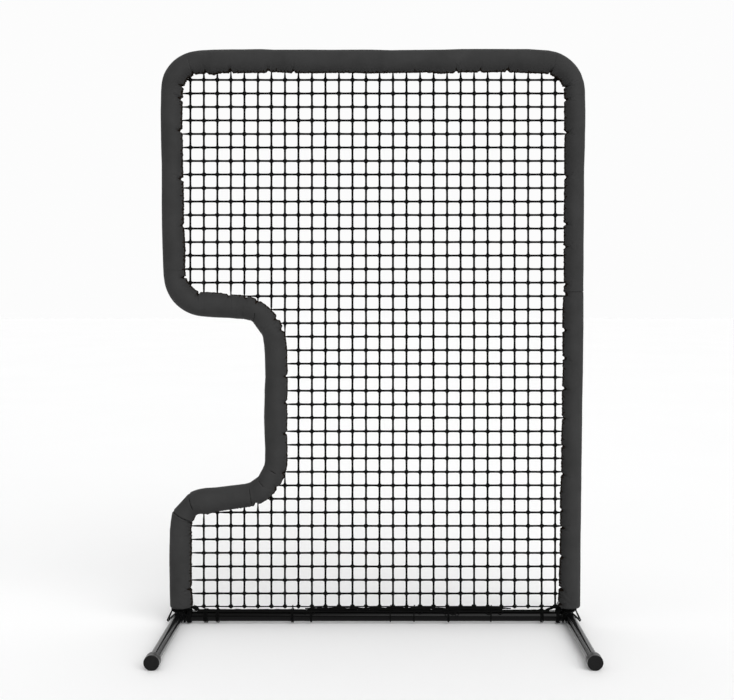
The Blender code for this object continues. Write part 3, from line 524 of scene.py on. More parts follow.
def sleeveRings(marks, begin, end, roundBegin, roundEnd):
    count = len(marks)
    centre, side = lineAt(marks)
    outer, inner = reachAt(marks, outwards), reachAt(marks, netwards)
    for first, last in facets:
        ends, away = lineAt([first, last])
        ends = ends - away * reachAt([first, last], outwards)[:, None]
        run = (ends[1] - ends[0])[::2]
        share = np.cross(run, (centre - ends[0])[:, ::2]) / np.cross(run, side[:, ::2])
        inside = (marks > first) & (marks < last)
        outer = np.where(inside, np.maximum(share, sleeve["pinchFloor"]), outer)
    pinch = np.zeros(count)
    for place, force in zip(pinches, pinchForce):
        depth = np.maximum(0, 1 - np.abs(marks - place) / sleeve["pinchWidth"])
        pinch = np.maximum(pinch, force * depth ** sleeve["pinchShape"])
    flap = sum(height * millimetre * np.exp(-((marks - place) / sleeve["flapWidth"]) ** 2)
               for place, height in flaps)
    radius = (outer + inner) / 2 + sleeve["full"]
    shift = ((inner - outer) / 2)[:, None]
    broad, fine = sleeve["raggedScales"]
    ragged = np.array([[sleeve["raggedShare"] * wobble(mark, seed, 0.3, broad) + wobble(mark, seed, 4.1, fine)
                        for mark in marks] for seed in (1.7, 8.2)])
    inward = np.zeros(count)
    for edge, size in ((begin, roundBegin), (end, roundEnd)):
        gap = np.clip(size - np.abs(marks - edge), 0, size)
        inward = np.maximum(inward, size - np.sqrt(np.maximum(size ** 2 - gap ** 2, 0)))

    # the vinyl, from one lip of the slit round to the other
    half = sleeve["slit"] + sleeve["slitRagged"] * np.abs(ragged) + sleeve["slitPinched"] * pinch
    lip = np.arcsin(half / radius) + sleeve["lipPinched"] * pinch
    even = np.linspace(0, 1, sleeve["arcSteps"] + 1)
    share = even - sleeve["crowd"] * np.sin(tau * even)
    angle = lip[0][:, None] * (1 - share) + (tau - lip[1][:, None]) * share
    away = np.minimum(angle, tau - angle)
    near = 0.5 - 0.5 * np.cos(pi * np.clip((sleeve["drawnAngle"] - away) / sleeve["drawnFade"], 0, 1))
    lumps = sleeveLumps(marks, angle, np.clip(1 - away / sleeve["rippleAngle"], 0, 1))
    edgeWave = ragged[0][:, None] * (1 - share) + ragged[1][:, None] * share
    drawn = np.minimum(pinch * sleeve["pinchDepth"], inner - sleeve["pinchFloor"])
    size = (radius[:, None] + lumps + near * (edgeWave * sleeve["ragged"] + flap[:, None] - drawn[:, None])
            - inward[:, None])
    u, v, creaseShade = creaseSkin(marks, shift, size, shift + size * np.cos(angle), size * np.sin(angle))

    def slitWall(hand, wall, edge):  # the foam's lip and the slit's throat on one side
        reach = np.minimum(inner - sleeve["lip"], edge + sleeve["lipDrawn"] * pinch - sleeve["lipBack"])
        foam = hand * np.minimum(wall - sleeve["lipLevel"], sleeve["slit"] + sleeve["lipOpen"])
        throat = np.broadcast_to((sleeve["throat"], hand * sleeve["slit"]), (count, 2))
        return np.stack([np.stack([reach, foam], -1), throat], 1)

    mouth = asin(sleeve["slit"] / sleeve["bore"])
    turn = -mouth - (tau - 2 * mouth) * np.linspace(0, 1, sleeve["boreSteps"] + 1)
    bore = np.stack([sleeve["bore"] * np.cos(turn), sleeve["bore"] * np.sin(turn)], -1)
    flat = np.concatenate([np.stack([u, v], -1), slitWall(-1, half[1], u[:, -1]),
                           np.broadcast_to(bore, (count, *bore.shape)),
                           slitWall(1, half[0], u[:, 0])[:, ::-1]], 1)
    rings = centre[:, None] + side[:, None] * flat[..., :1] + yAxis * flat[..., 1:]
    # how many faces of bare foam show at each of the vinyl's edges
    bare = sleeve["bare"] + sleeve["bareRagged"] * ragged + sleeve["barePinched"] * pinch
    bare = np.clip(bare, *sleeve["bareLimits"]).astype(int)
    return rings, creaseShade, bare


def makeSleeves():
    arc = sleeve["arcSteps"]
    column = np.arange(arc + 1)
    for name, begin, end in sleeveRanges():
        begin += sleeve["cutBack"] if name == "left_lower" else sleeve["seam"] / 2
        end -= sleeve["cutBack"] if name == "right_lower" else sleeve["seam"] / 2
        rounds = [sleeve[kind] for kind in sleeveEnds.get(name, ("jointRound", "jointRound"))]
        marks = stationMarks(begin, end)
        rings, creaseShade, bare = sleeveRings(marks, begin, end, *rounds)
        store = newStore()
        addGrid(store, rings)
        # kind 2 is painted shade, the dark finish along the bottoms of deep creases
        kinds = np.ones((len(marks) - 1, rings.shape[1]), int)  # 0 vinyl, 1 foam, 2 seam
        kinds[:, :arc + 1] = np.where(creaseShade[:-1], 2, 0)
        nearLip = (column < bare[0][:-1, None]) | (arc - column < bare[1][:-1, None])
        kinds[:, :arc + 1][nearLip] = 1
        item = makePiece("sleeve_" + name, store, ["vinyl", "foam", "seam"], ["pad_" + name],
                         sharp=60, kinds=kinds.ravel().tolist() + [1, 1])


makeSleeves()
print("sleeves made")


# knotted net: every cord runs through to the border that lies along the tube

net = {
    "columns": 28, "rows": 40, "topRow": 2.0392, "step": 0.048826, "growth": 4.79e-5, "lastRow": 0.065,
    "middle": 0.0157, "offset": 13.8945, "pitch": 0.050352, "flare": 0.0009415, "eye": 1.311,
    "cord": 0.0074, "border": 0.0052, "selvage": 0.005, "standOff": 0.0225, "jitter": 0.0003,
    "lowestHalf": 0.7, "clear": 0.003, "cross": 0.0016, "slimEnd": 0.0026, "slimWithin": 0.006,
    "flareAtKnot": 0.001, "lobe": 0.0057, "lobeSwing": 0.001, "knotCord": 0.006, "knotSteps": 18,
    "knotBow": 0.0017, "knotTwist": 0.4, "knotTilt": 0.16, "knotSizes": (0.94, 1.07), "knotSides": 5,
    "borderEnds": 0.02, "borderStep": 0.004, "selvageDrop": 0.0014, "selvageSway": (0.0008, 0.0012),
    "selvageSteps": 240,
    "along": ((0, 1.0), (0.1, 0.75), (0.2, 0.25), (0.5, 0.0), (0.8, 0.25), (0.9, 0.75)),
}


def knotPlace(column, row):
    z = net["topRow"] - net["step"] * row - net["growth"] * row * row
    if row >= net["rows"] - 1:
        z = net["lastRow"]
    pitch = net["pitch"] + (net["eye"] - z) * net["flare"]
    return np.array((net["middle"] + (column - net["offset"]) * pitch, 0.0, z))


def netRegion():
    centre, side = lineAt(np.arange(net["borderEnds"], lineLength - net["borderEnds"], net["borderStep"]))
    return centre + side * net["standOff"]


borderPath = netRegion()


def insideRegion(points):
    # even-odd test against the border, closed along the bottom row
    low = net["lastRow"] - 1e-4
    ring = np.concatenate([[(borderPath[0][0], low)], borderPath[:, ::2], [(borderPath[-1][0], low)]])
    x, z = points[:, 0], points[:, 2]
    result = np.zeros(len(points), bool)
    for (x1, z1), (x2, z2) in zip(ring, np.roll(ring, -1, 0)):
        if z1 != z2:
            hit = (z1 > z) != (z2 > z)
            result ^= hit & (x < (x2 - x1) * (z - z1) / (z2 - z1) + x1)
    return result


def beyondSleeve(points, coarse=8):
    # distance from each point to the sleeve's edge, positive outside it
    gaps = np.linalg.norm(linePoints[::coarse][None] - points[:, None, ::2], axis=2)
    nearest = gaps.argmin(1)
    return gaps[np.arange(len(points)), nearest] - reachAt(lineMarks[::coarse][nearest], netwards)


def edgePoint(inside, outside):
    low, high = inside.copy(), outside.copy()
    for step in range(12):
        middle = (low + high) / 2
        if insideRegion(middle[None])[0]:
            low = middle
        else:
            high = middle
    return low


def addNetCord(store, line, knotted, lift):
    # six points to each cell, lifted and thicker at the knots, cut where the line leaves the net's region
    points, widths = [], []
    for index in range(len(line) - 1):
        for t, near in net["along"]:
            near = near * (knotted[index] if t < 0.5 else knotted[index + 1])
            point = line[index] * (1 - t) + line[index + 1] * t
            point[1] = lift * near
            points.append(point)
            widths.append(net["cord"] / 2 + net["flareAtKnot"] * near)
    points = np.array(points + [line[-1]])
    widths = np.array(widths + [net["cord"] / 2])
    widths = np.where(beyondSleeve(points) < net["slimWithin"], net["slimEnd"], widths)
    changes = np.flatnonzero(np.diff(np.concatenate([[0], insideRegion(points), [0]])))
    for begin, stop in changes.reshape(-1, 2):
        piece, width = list(points[begin:stop]), list(widths[begin:stop])
        if begin > 0:
            piece.insert(0, edgePoint(points[begin], points[begin - 1]))
            width.insert(0, net["slimEnd"])
        if stop < len(points):
            piece.append(edgePoint(points[stop - 1], points[stop]))
            width.append(net["slimEnd"])
        if len(piece) > 2:
            addTube(store, piece, width)


def makeNet():
    places = np.array([[knotPlace(column, row) for column in range(-1, net["columns"] + 1)]
                       for row in range(-1, net["rows"])])
    for place in places[:-1].reshape(-1, 3):
        for axis in (0, 2):
            place[axis] += draw.uniform(-1, 1) * net["jitter"]
    flat = places.reshape(-1, 3)
    shown = (insideRegion(flat) & (beyondSleeve(flat) > net["clear"])).reshape(places.shape[:2])
    shown[-1] |= np.abs(places[-1, :, 0]) < net["lowestHalf"]
    store = newStore()
    for column in range(1, net["columns"] + 1):
        addNetCord(store, places[:, column], shown[:, column], net["cross"])
    for row in range(1, places.shape[0] - 1):
        addNetCord(store, places[row], shown[row], -net["cross"])
    makeTwine("net_cords", store, ["net_upper", "net_middle", "net_lower"])
    makeKnots(places[shown])


def makeKnots(centres):
    # a four-lobed turn of cord round each crossing
    turn = circleTurns(net["knotSteps"])
    lobe = net["lobe"] + net["lobeSwing"] * np.cos(4 * turn)
    bow = net["knotBow"] * np.cos(2 * turn + net["knotTwist"])
    shape = newStore()
    addTube(shape, np.stack([lobe * np.cos(turn), bow, lobe * np.sin(turn)], -1), net["knotCord"] / 2,
            net["knotSides"], closed=True)
    knot = shape["verts"][0]
    faces = np.array(shape["faces"])
    store = newStore()
    for index, centre in enumerate(centres):
        tilt = draw.uniform(-net["knotTilt"], net["knotTilt"])
        flip = draw.choice((-1, 1))
        size = draw.uniform(*net["knotSizes"])
        c, s = cos(tilt), sin(tilt)
        x = knot[:, 0] * c - knot[:, 2] * s
        z = knot[:, 0] * s + knot[:, 2] * c
        store["verts"].append(centre + size * np.stack([x, flip * knot[:, 1], z], 1))
        store["faces"] += (faces[:, ::flip] + index * len(knot)).tolist()
    makeTwine("net_knots", store)


def makeBorder():
    # the border along the tubes, and the net's loose lower edge
    store = newStore()
    addTube(store, borderPath[::2], net["border"] / 2)
    low = net["lastRow"] - net["selvageDrop"]
    sway, rise = net["selvageSway"]
    points = [(x, sway * wobble(x, 3, 5, 20), low + rise * wobble(x, 9, 1, 14))
              for x in np.linspace(borderPath[0][0], borderPath[-1][0], net["selvageSteps"])]
    addTube(store, points, net["selvage"] / 2)
    makeTwine("net_border", store)


makeNet()
makeBorder()
print("net made")


# ties that hold the net's edge to the tubes inside the sleeves, and the stitches at the pinches

ties = {
    "cord": 0.002, "loop": 0.0221, "turns": 2, "steps": 36, "pitch": 0.0026, "swell": 0.0056,
    "swellShare": 0.9, "squash": 0.93, "stitch": 0.0024, "stitchLoop": 0.0066, "stitchSteps": 16,
    "stitchLean": 0.003, "stitchIn": 0.0018, "stitchReach": 0.003,
}


def makeTies():
    store = newStore()
    names = [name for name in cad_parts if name.startswith("net_tie_")]
    for name in sorted(names):
        low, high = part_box(name)
        middle = (low + high) / 2
        mark = lineMarks[np.linalg.norm(linePoints - np.array((middle.x, middle.z)), axis=1).argmin()]
        points = []
        for step in range(ties["turns"] * ties["steps"] + 1):
            turn = step / ties["steps"]
            angle = turn * tau
            centre, side = lineAt(mark + (turn - ties["turns"] / 2) * ties["pitch"])
            swell = ties["swell"] * max(0.0, cos(angle)) ** 6
            reach = ties["loop"] + swell * ties["swellShare"]
            points.append(centre[0] + side[0] * reach * cos(angle)
                          + yAxis * ties["loop"] * ties["squash"] * sin(angle))
        addTube(store, points, ties["cord"] / 2)
    makeTwine("edge_ties", store, names)


def makeStitches():
    store = newStore()
    for place, force in zip(pinches, pinchForce):
        side = lineAt(place)[1][0]
        least = max(reachAt(place, netwards) - sleeve["pinchDepth"] * force, sleeve["pinchFloor"])
        lean = draw.uniform(-0.5, 0.5)
        points = []
        for angle in circleTurns(ties["stitchSteps"]):
            centre = lineAt(place + ties["stitchLean"] * lean * sin(angle))[0][0]
            reach = least - ties["stitchIn"] + ties["stitchReach"] * cos(angle)
            points.append(centre + side * reach + yAxis * ties["stitchLoop"] * sin(angle))
        addTube(store, points, ties["stitch"] / 2, 6, closed=True)
    makeTwine("sleeve_stitches", store)


makeTies()
makeStitches()
print("ties and stitches made")


# lacing that holds the net's lower edge to the bottom rail: each group of turns by its start and number

lacing = {
    "cord": 0.0024, "loop": 0.0205, "pitch": 0.0026, "over": 0.0023, "edgeTop": 0.065, "slackTop": 0.0507,
    "turnRadius": 0.003, "overSteps": 4, "roundSteps": 24, "lift": 0.0002, "spanStep": 0.012, "sides": 7,
    "spanEnds": (0.06, 0.94), "lean": 0.35, "leanSwing": 0.32, "rest": 0.0004, "hump": 0.001,
    "groups": ((-0.7235, 2), (-0.711, 6), (-0.648, 6), (-0.601, 5), (-0.316, 4), (-0.243, 3), (0.06, 2),
               (0.15, 2), (0.28, 3), (0.443, 2), (0.633, 5), (0.694, 4), (0.7183, 2)),
}


def wrapPoints(x, drift, loop, top):
    # once round the rail and whatever lies on it up to the height given, from the top and back to it
    high, small = top - footZ, lacing["turnRadius"]
    touch = acos(min(1.0, (loop - small) / high))
    over, under = lacing["overSteps"], lacing["roundSteps"]
    points = trace(over, lambda t: (touch * t, small, high))
    points += trace(under, lambda t: (touch + (tau - 2 * touch) * t, loop, 0.0))
    points += trace(over, lambda t: (tau - touch + touch * t, small, high))
    return [(x + drift * angle / tau, -size * sin(angle),
             footZ + lift + size * cos(angle)) for angle, size, lift in points]


def onRail(x, lean, size, extra=0.0):
    # a cord's place on the rail, at an angle from its top
    reach = tubeRadius + lacing["lift"] + size + extra
    return (x, reach * sin(lean), footZ + reach * cos(lean))


def makeLacing():
    # one cord: groups of turns, and a run along the rail from each group to the next
    store = newStore()
    path = []
    size = lacing["cord"] / 2
    here = None
    for start, turns in lacing["groups"]:
        if here is not None:
            for share in np.linspace(*lacing["spanEnds"], max(4, int((start - here) / lacing["spanStep"]))):
                x = here + (start - here) * share
                lean = lacing["leanSwing"] * wobble(x, 2, 6, 12) + lacing["lean"]
                lift = lacing["rest"] + lacing["hump"] * abs(wobble(x, 5, 5, 20))
                path.append(onRail(x, lean, size, lift))
        for turn in range(turns):
            # the middle turn goes up round the net's edge, and every second one lies over its neighbours
            over = lacing["over"] if turn % 2 and turns > 2 else 0.0
            top = lacing["edgeTop"] if turn == turns // 2 and not over else lacing["slackTop"] + over
            path += wrapPoints(start + turn * lacing["pitch"], lacing["pitch"], lacing["loop"] + over, top)
        here = start + turns * lacing["pitch"]
    path = smoothPath(path, 2)
    print("rail lacing length: %.2f m" % np.linalg.norm(np.diff(path, axis=0), axis=1).sum())
    addTube(store, path, size, lacing["sides"])
    makeTwine("rail_lacing_cord", store, ["rail_lacing"])


# the slack of the net's lower edge: ropes along the rail as (lean, size, seed), strands gathered over
# it, and loops that hang down its front as (place, drop, half width)

slack = {
    "rope": 0.0066, "ropes": ((-0.12, 1.0, 2.0), (-0.44, 0.9, 7.0), (0.28, 0.8, 4.0)),
    "ropeEnds": (-0.672, 0.668), "ropeSteps": 300, "thickUntil": (-0.3, -0.18), "thick": 1.42,
    "ropeRest": 0.0002, "ropeSwing": 0.16, "ropeSwell": (0.92, 0.25),
    "strands": 9, "strandEnds": (-0.235, 0.5), "strandStep": 0.006, "fade": 0.05,
    "startDraw": (-0.03, 0.07), "endDraw": (-0.08, 0.03), "strandSizes": (0.0016, 0.0025),
    "height": 0.0563, "heightSwing": 0.0105, "depth": -0.0015, "depthSwing": 0.0125, "rest": 0.0218,
    "loopCord": 0.0034, "loopSize": 0.0016, "loopTurn": 0.0205, "loopLean": 0.35, "loopRest": 0.0005,
    "loopHump": 0.0012, "loopSteps": 12,
    "loops": ((0.277, 0.019, 0.012), (0.3, 0.014, 0.016), (0.315, 0.02, 0.01), (0.436, 0.013, 0.013),
              (0.175, 0.01, 0.011), (-0.236, 0.013, 0.014), (-0.262, 0.009, 0.012), (0.48, 0.012, 0.01)),
}


def makeSlack():
    store = newStore()
    size = slack["rope"] / 2
    least, swell = slack["ropeSwell"]
    for lean, share, seed in slack["ropes"]:
        points, widths = [], []
        for x in np.linspace(*slack["ropeEnds"], slack["ropeSteps"]):
            thick = np.interp(x, slack["thickUntil"], (slack["thick"], 1.0))
            wide = size * share * (least + swell * wobble(x, 1, seed, 45)) * thick
            swing = slack["ropeSwing"] * wobble(x, 4, seed, 9)
            points.append(onRail(x, lean + swing, wide, slack["ropeRest"]))
            widths.append(wide)
        addTube(store, points, widths)
    for strand in range(slack["strands"]):
        begin = slack["strandEnds"][0] + draw.uniform(*slack["startDraw"])
        end = slack["strandEnds"][1] + draw.uniform(*slack["endDraw"])
        points = []
        for x in np.arange(begin, end, slack["strandStep"]):
            fade = min(1.0, (x - begin) / slack["fade"], (end - x) / slack["fade"])
            z = slack["height"] + slack["heightSwing"] * wobble(x, strand * 2.3, 9.5, 13) * fade
            y = slack["depth"] + slack["depthSwing"] * wobble(x, strand * 3.1, 1.5, 16)
            floor = footZ + sqrt(max(0.0, slack["rest"] ** 2 - y * y))
            points.append((x, y, max(z, floor)))
        addTube(store, points, draw.uniform(*slack["strandSizes"]), lacing["sides"])
    for x, drop, wide in slack["loops"]:
        points = trace(slack["loopSteps"], lambda t: onRail(
            x + wide * (t - 0.5) * 2, -(slack["loopLean"] + drop * sin(pi * t) / slack["loopTurn"]),
            slack["loopSize"], slack["loopRest"] + slack["loopHump"] * sin(pi * t)))
        addTube(store, points, slack["loopCord"] / 2, lacing["sides"])
    makeTwine("net_edge_slack", store)


# cord bunched at each foot of the screen, and the net's corner gathered above it; the loops are
# given by where they start, the step from one to the next, their size and their cord's radius;
# the way over the foot's shoulder by its points (x, y, z) and their shares of slide, spread and lift;
# strands by each end's place and its step from one to the next, then bend, radius and seed step

corner = {
    "left": {"bunch": (0.703, 0.0062), "shoulder": 0.0012, "gatherEnd": 0.667, "strands": 9},
    "right": {"bunch": (0.6992, 0.004), "shoulder": 0.0046, "gatherEnd": 0.648, "strands": 5},
    "upright": (0.0483, 0.0033, 0.0207, 0.0015), "foot": (-0.0262, -0.0036, 0.0206, 0.0013),
    "railEnds": (0.7215, 0.719), "railLoop": 0.0222, "railLean": 0.35, "bunchCord": 0.0014,
    "steps": 30, "over": 0.0014, "shoulderStep": 0.003, "shoulderDraw": 0.001, "shoulderLift": 0.0022,
    "uprightLean": 0.05, "uprightSwell": 0.0006, "railSwing": 0.32, "railSwell": 0.0018, "footLean": 0.0012,
    "shoulder": ((-0.0225, 0, 0.052, 0, 0, 1), (-0.015, -0.0165, 0.051, 0, -1, 1),
                 (0, -0.0232, 0.0492, 0, -1, 1), (0.019, -0.0236, 0.047, 0, -1, 0),
                 (0.03, -0.0232, 0.033, 1, -1, 0), (0.0345, -0.018, 0.0095, 1, 0, 0),
                 (0.036, 0, 0.003, 1, 0, 0)),
    "gather": ((0.7, -0.006, 0.0665), (-0.0024, 0.0016, 0), 0.003, 0.0022, 1.7),
    "gatherEnd": ((0.01, -0.007, 0.049), (-0.00125, 0.0018, 0)), "gatherDrop": (0, 0.001, 0.002),
    "oddLift": 0.0012, "oddSize": 0.0004,
    "tail": ((0.7235, -0.004, 0.0478), (0, 0.001, 0.0026), 0.005, 0.0019, 2.9), "tails": 7,
    "tailEnd": ((0.692, 0.004, 0.0488), (0.001, -0.001, 0.0026)), "sway": 0.0018,
}


def addLoop(store, spotAt, radius):
    # a closed turn of cord, from a function that gives its place at each angle
    points = [spotAt(angle) for angle in circleTurns(corner["steps"])]
    addTube(store, points, radius, lacing["sides"], closed=True)


def addCornerLoops(store, hand, own):
    x0 = hand * halfWidth
    begin, pitch, loop, radius = corner["upright"]
    for index in range(4):  # round the upright, under the sleeve
        z = begin + pitch * index
        lean = draw.uniform(-corner["uprightLean"], corner["uprightLean"])
        size = loop + corner["over"] * (index % 2) + draw.uniform(0, corner["uprightSwell"])
        addLoop(store, lambda a: (x0 + size * cos(a), size * sin(a), z + lean * size * cos(a)), radius)
    middle, half = own["bunch"]
    bunch = (middle + half, middle + half / 3, middle - half / 3, middle - half)
    for spot in corner["railEnds"] + bunch:  # round the end of the rail, over the close turns
        lean = draw.uniform(-corner["railSwing"], corner["railSwing"])
        size = corner["railLoop"] + draw.uniform(0, corner["railSwell"])
        addLoop(store, lambda a: (hand * spot + lean * corner["railLean"] * size * cos(a),
                                  size * sin(a), footZ + size * cos(a)), corner["bunchCord"])
    for index in range(4):  # from the upright over the foot's shoulder and down round the rail
        draws = draw.uniform(-corner["shoulderDraw"], corner["shoulderDraw"])
        dx = index * corner["shoulderStep"] + draws + own["shoulder"]
        lift = corner["shoulderLift"] * (index % 2)
        front = [(x + dx * slide, y + lift * spread, z + lift * rise)
                 for x, y, z, slide, spread, rise in corner["shoulder"]]
        back = [(x, -y, z) for x, y, z in front[-2:0:-1]]
        loop = [(x0 - hand * x, y, z) for x, y, z in front + back]
        addTube(store, smoothPath(loop, 5, closed=True), corner["bunchCord"], lacing["sides"], closed=True)
    begin, pitch, size, radius = corner["foot"]
    for index in range(2):  # round the foot, close in front of the upright
        y = begin + pitch * index
        addLoop(store, lambda a: (x0 + size * cos(a), y + corner["footLean"] * cos(a + index),
                                  footZ + size * sin(a)), radius)


def addStrand(store, hand, start, end, bend, size, seed):
    start, end = (np.array(point) * (hand, 1, 1) for point in (start, end))
    points = trace(8, lambda t: start + (end - start) * t
                   + (0, bend * sin(pi * t), corner["sway"] * wobble(t, seed, 2, 3)))
    addTube(store, points, size, lacing["sides"])


def makeCorners():
    for hand, label in hands:
        store = newStore()
        own = corner[label]
        addCornerLoops(store, hand, own)
        for index in range(own["strands"]):  # from the sleeve's end to the rail
            odd = index % 2
            place, step, bend, size, seed = corner["gather"]
            start = np.add(place, np.multiply(step, index)) - (0, 0, corner["gatherDrop"][index % 3])
            place, step = corner["gatherEnd"]
            end = np.add(place, np.multiply(step, index)) + (own["gatherEnd"], 0, corner["oddLift"] * odd)
            size -= corner["oddSize"] * odd
            addStrand(store, hand, start, end, bend * (-1) ** index, size, index * seed)
        for index in range(corner["tails"]):  # and from the net's corner to the upright
            place, step, bend, size, seed = corner["tail"]
            start, end = (np.add(at, np.multiply(by, index)) for at, by in ((place, step), corner["tailEnd"]))
            addStrand(store, hand, start, end, bend * (-1) ** index, size, index * seed)
        makeTwine("corner_lacing_" + label, store)


makeLacing()
makeSlack()
makeCorners()
print("lacing made")


# feet and bottom rail

foot = {
    "front": 0.474, "rear": 0.126, "capWall": 0.0043, "wall": 0.0015, "stub": 0.0168, "stubWall": 0.002,
    "stubSunk": 0.0006, "upright": 0.15, "rail": 0.09, "sides": 64, "footRings": 40, "railRings": 60,
    "stubSides": 40, "railGap": 0.0003, "edge": 0.0004, "ringMargin": 0.001,
}
weld = {"steps": 96, "lift": 0.0005, "radius": 0.0017, "ripple": 0.0003, "ripples": 26}


def pipeProfile(outer, wall, start, end, rings=0):
    # a pipe's wall with its edges broken, and extra rings along a long one
    margin, edge = foot["ringMargin"], foot["edge"]
    return [(outer - wall, start), (outer - edge, start), (outer, start + edge),
            *((outer, reach) for reach in np.linspace(start + margin, end - margin, rings)),
            (outer, end - edge), (outer - edge, end), (outer - wall, end)]


def addWeld(store, centre, axis, across):
    # a bead laid round a stub where it stands on a round tube
    points, widths = [], []
    for angle in circleTurns(weld["steps"]):
        side = foot["stub"] * sin(angle)
        rise = sqrt(max(0.0, (tubeRadius + weld["lift"]) ** 2 - side ** 2))
        points.append(np.array(centre) + np.array(axis) * rise + np.array(across) * side
                      + np.cross(axis, across) * foot["stub"] * cos(angle))
        widths.append(weld["radius"] + weld["ripple"] * cos(angle * weld["ripples"]))
    addTube(store, points, widths, closed=True)


def makeFeet():
    front, rear = foot["capWall"] - foot["front"], foot["rear"] - foot["capWall"]
    for hand, label in hands:
        store = newStore()
        place = (hand * halfWidth, 0, footZ)
        profile = pipeProfile(tubeRadius, foot["wall"], front, rear, foot["footRings"])
        addTurned(store, profile, place, yAxis, foot["sides"], closed=True)
        stubs = ((zAxis, xAxis, foot["upright"]), (-hand * xAxis, zAxis, foot["rail"]))
        for axis, across, length in stubs:
            start, end = tubeRadius - foot["stubSunk"], tubeRadius + length
            profile = pipeProfile(foot["stub"], foot["stubWall"], start, end)
            addTurned(store, profile, place, axis, foot["stubSides"], closed=True)
        for axis, across, length in stubs:
            addWeld(store, place, axis, across)
        makePiece("foot_tube_" + label, store, ["paint"], [label + "_foot"], sharp=35)


def makeRail():
    store = newStore()
    reach = halfWidth - tubeRadius - foot["railGap"]
    profile = pipeProfile(tubeRadius, foot["wall"], -reach, reach, foot["railRings"])
    addTurned(store, profile, (0, 0, footZ), xAxis, foot["sides"], closed=True)
    # painted shade: the rail takes the darker, less glossy copy of the feet's paint
    makePiece("rail_tube", store, ["shadedRailPaint"], ["bottom_rail"], sharp=35)


# caps: the dome's (radius, depth below the face), the side's (depth below the skin, place along)

cap = {
    "outer": 0.0269, "inner": 0.01935, "depth": 0.034, "wall": 0.004, "round": 0.0017, "roundSteps": 6,
    "mouth": 0.0008, "sides": 64, "faceRings": 8,
    "dome": ((0.0, 0.0007), (0.01, 0.0006), (0.018, 0.0004), (0.0235, 0.0)),
    "side": ((0.0, 0.025), (0.0004, 0.0244), (0.0004, 0.0236), (0.0, 0.023), (0.0, 0.0062), (0.0, 0.0058),
             (0.0005, 0.0044), (0.0, 0.003), (0.0, 0.0012), (0.0004, 0.0003), (0.0012, 0.0)),
}


def capProfile():
    outer, inner, depth, curve = cap["outer"], cap["inner"], cap["depth"], cap["round"]
    profile = [(size, depth - drop) for size, drop in cap["dome"]]
    profile += trace(cap["roundSteps"], lambda t: (outer - curve + curve * sin(t * pi / 2),
                                                   depth - curve + curve * cos(t * pi / 2)))
    profile += [(outer - drop, reach) for drop, reach in cap["side"]]
    return profile + [(inner + cap["mouth"], 0.0), (inner, cap["mouth"]), (inner, depth - cap["wall"]),
                      (0.0, depth - cap["wall"])]


def makeCaps():
    profile = capProfile()
    # the face rings take the plain rubber; the rest take its copy with painted light, lighter and glossier as
    # if lit from above
    rows = [0] * cap["faceRings"] + [1] * (len(profile) - 1 - cap["faceRings"])
    kinds = np.repeat(rows, cap["sides"]).tolist() + [0, 0]
    for hand, side in hands:
        for end, label in ((-1, "front"), (1, "rear")):
            store = newStore()
            place = (hand * halfWidth, end * (foot[label] - cap["depth"]), footZ)
            addTurned(store, profile, place, end * yAxis, cap["sides"], floor=0.0)
            makePiece("cap_%s_%s" % (side, label), store, ["rubber", "litCapSide"],
                      ["%s_foot_cap_%s" % (side, label)], sharp=40, kinds=kinds)


makeFeet()
makeRail()
makeCaps()
print("feet, rail and caps made")


# lock pins and their wire bails

pin = {"radius": 0.00395, "head": 0.0058, "headLength": 0.009, "height": 0.05265, "length": 0.0384,
       "gap": 0.0003, "sides": 36}
bail = {"wire": 0.005, "inset": 0.0028, "half": 0.0125, "drop": 0.036, "reach": 0.044, "back": 0.012,
        "grip": 1.4, "gripFade": 0.004, "low": (0.002, 0.005), "pivot": 0.0012, "bend": 0.0034,
        "gripWidth": 0.0012, "gripFull": 1.5, "sides": 12}
pinFace = halfWidth + tubeRadius + pin["gap"]


def makePins():
    radius, head, tall, length = pin["radius"], pin["head"], pin["headLength"], pin["length"]
    profile = [(0.0, tall), (head * 0.55, tall), (head - 0.0016, tall - 0.0001),
               (head - 0.0007, tall - 0.0005),
               (head - 0.0001, tall - 0.0014), (head, tall - 0.0024), (head, 0.0004), (head - 0.0003, 0.0),
               (radius + 0.0004, 0.0), (radius, -0.0004), (radius, 0.002 - length),
               (radius * 0.86, 0.0006 - length), (radius * 0.7, -length), (0.0, -length)]
    for hand, label in hands:
        store = newStore()
        addTurned(store, profile, (hand * pinFace, 0, pin["height"]), hand * xAxis, pin["sides"])
        makePiece("lock_pin_" + label, store, ["wire"], [label + "_hitch_pin"],
                  body=label + "_pin", sharp=40)


def roundedPath(points, size, steps=5):
    # straight runs with each corner turned on a small curve
    points = np.array(points, float)
    made = [points[0]]
    for before, corner, after in zip(points, points[1:], points[2:]):
        reach = min(size, np.linalg.norm(before - corner) * 0.48, np.linalg.norm(after - corner) * 0.48)
        start = corner + unit(before - corner) * reach
        end = corner + unit(after - corner) * reach
        made += trace(steps, lambda t: start * (1 - t) ** 2 + corner * 2 * t * (1 - t) + end * t * t)
    return np.array(made + [points[-1]])


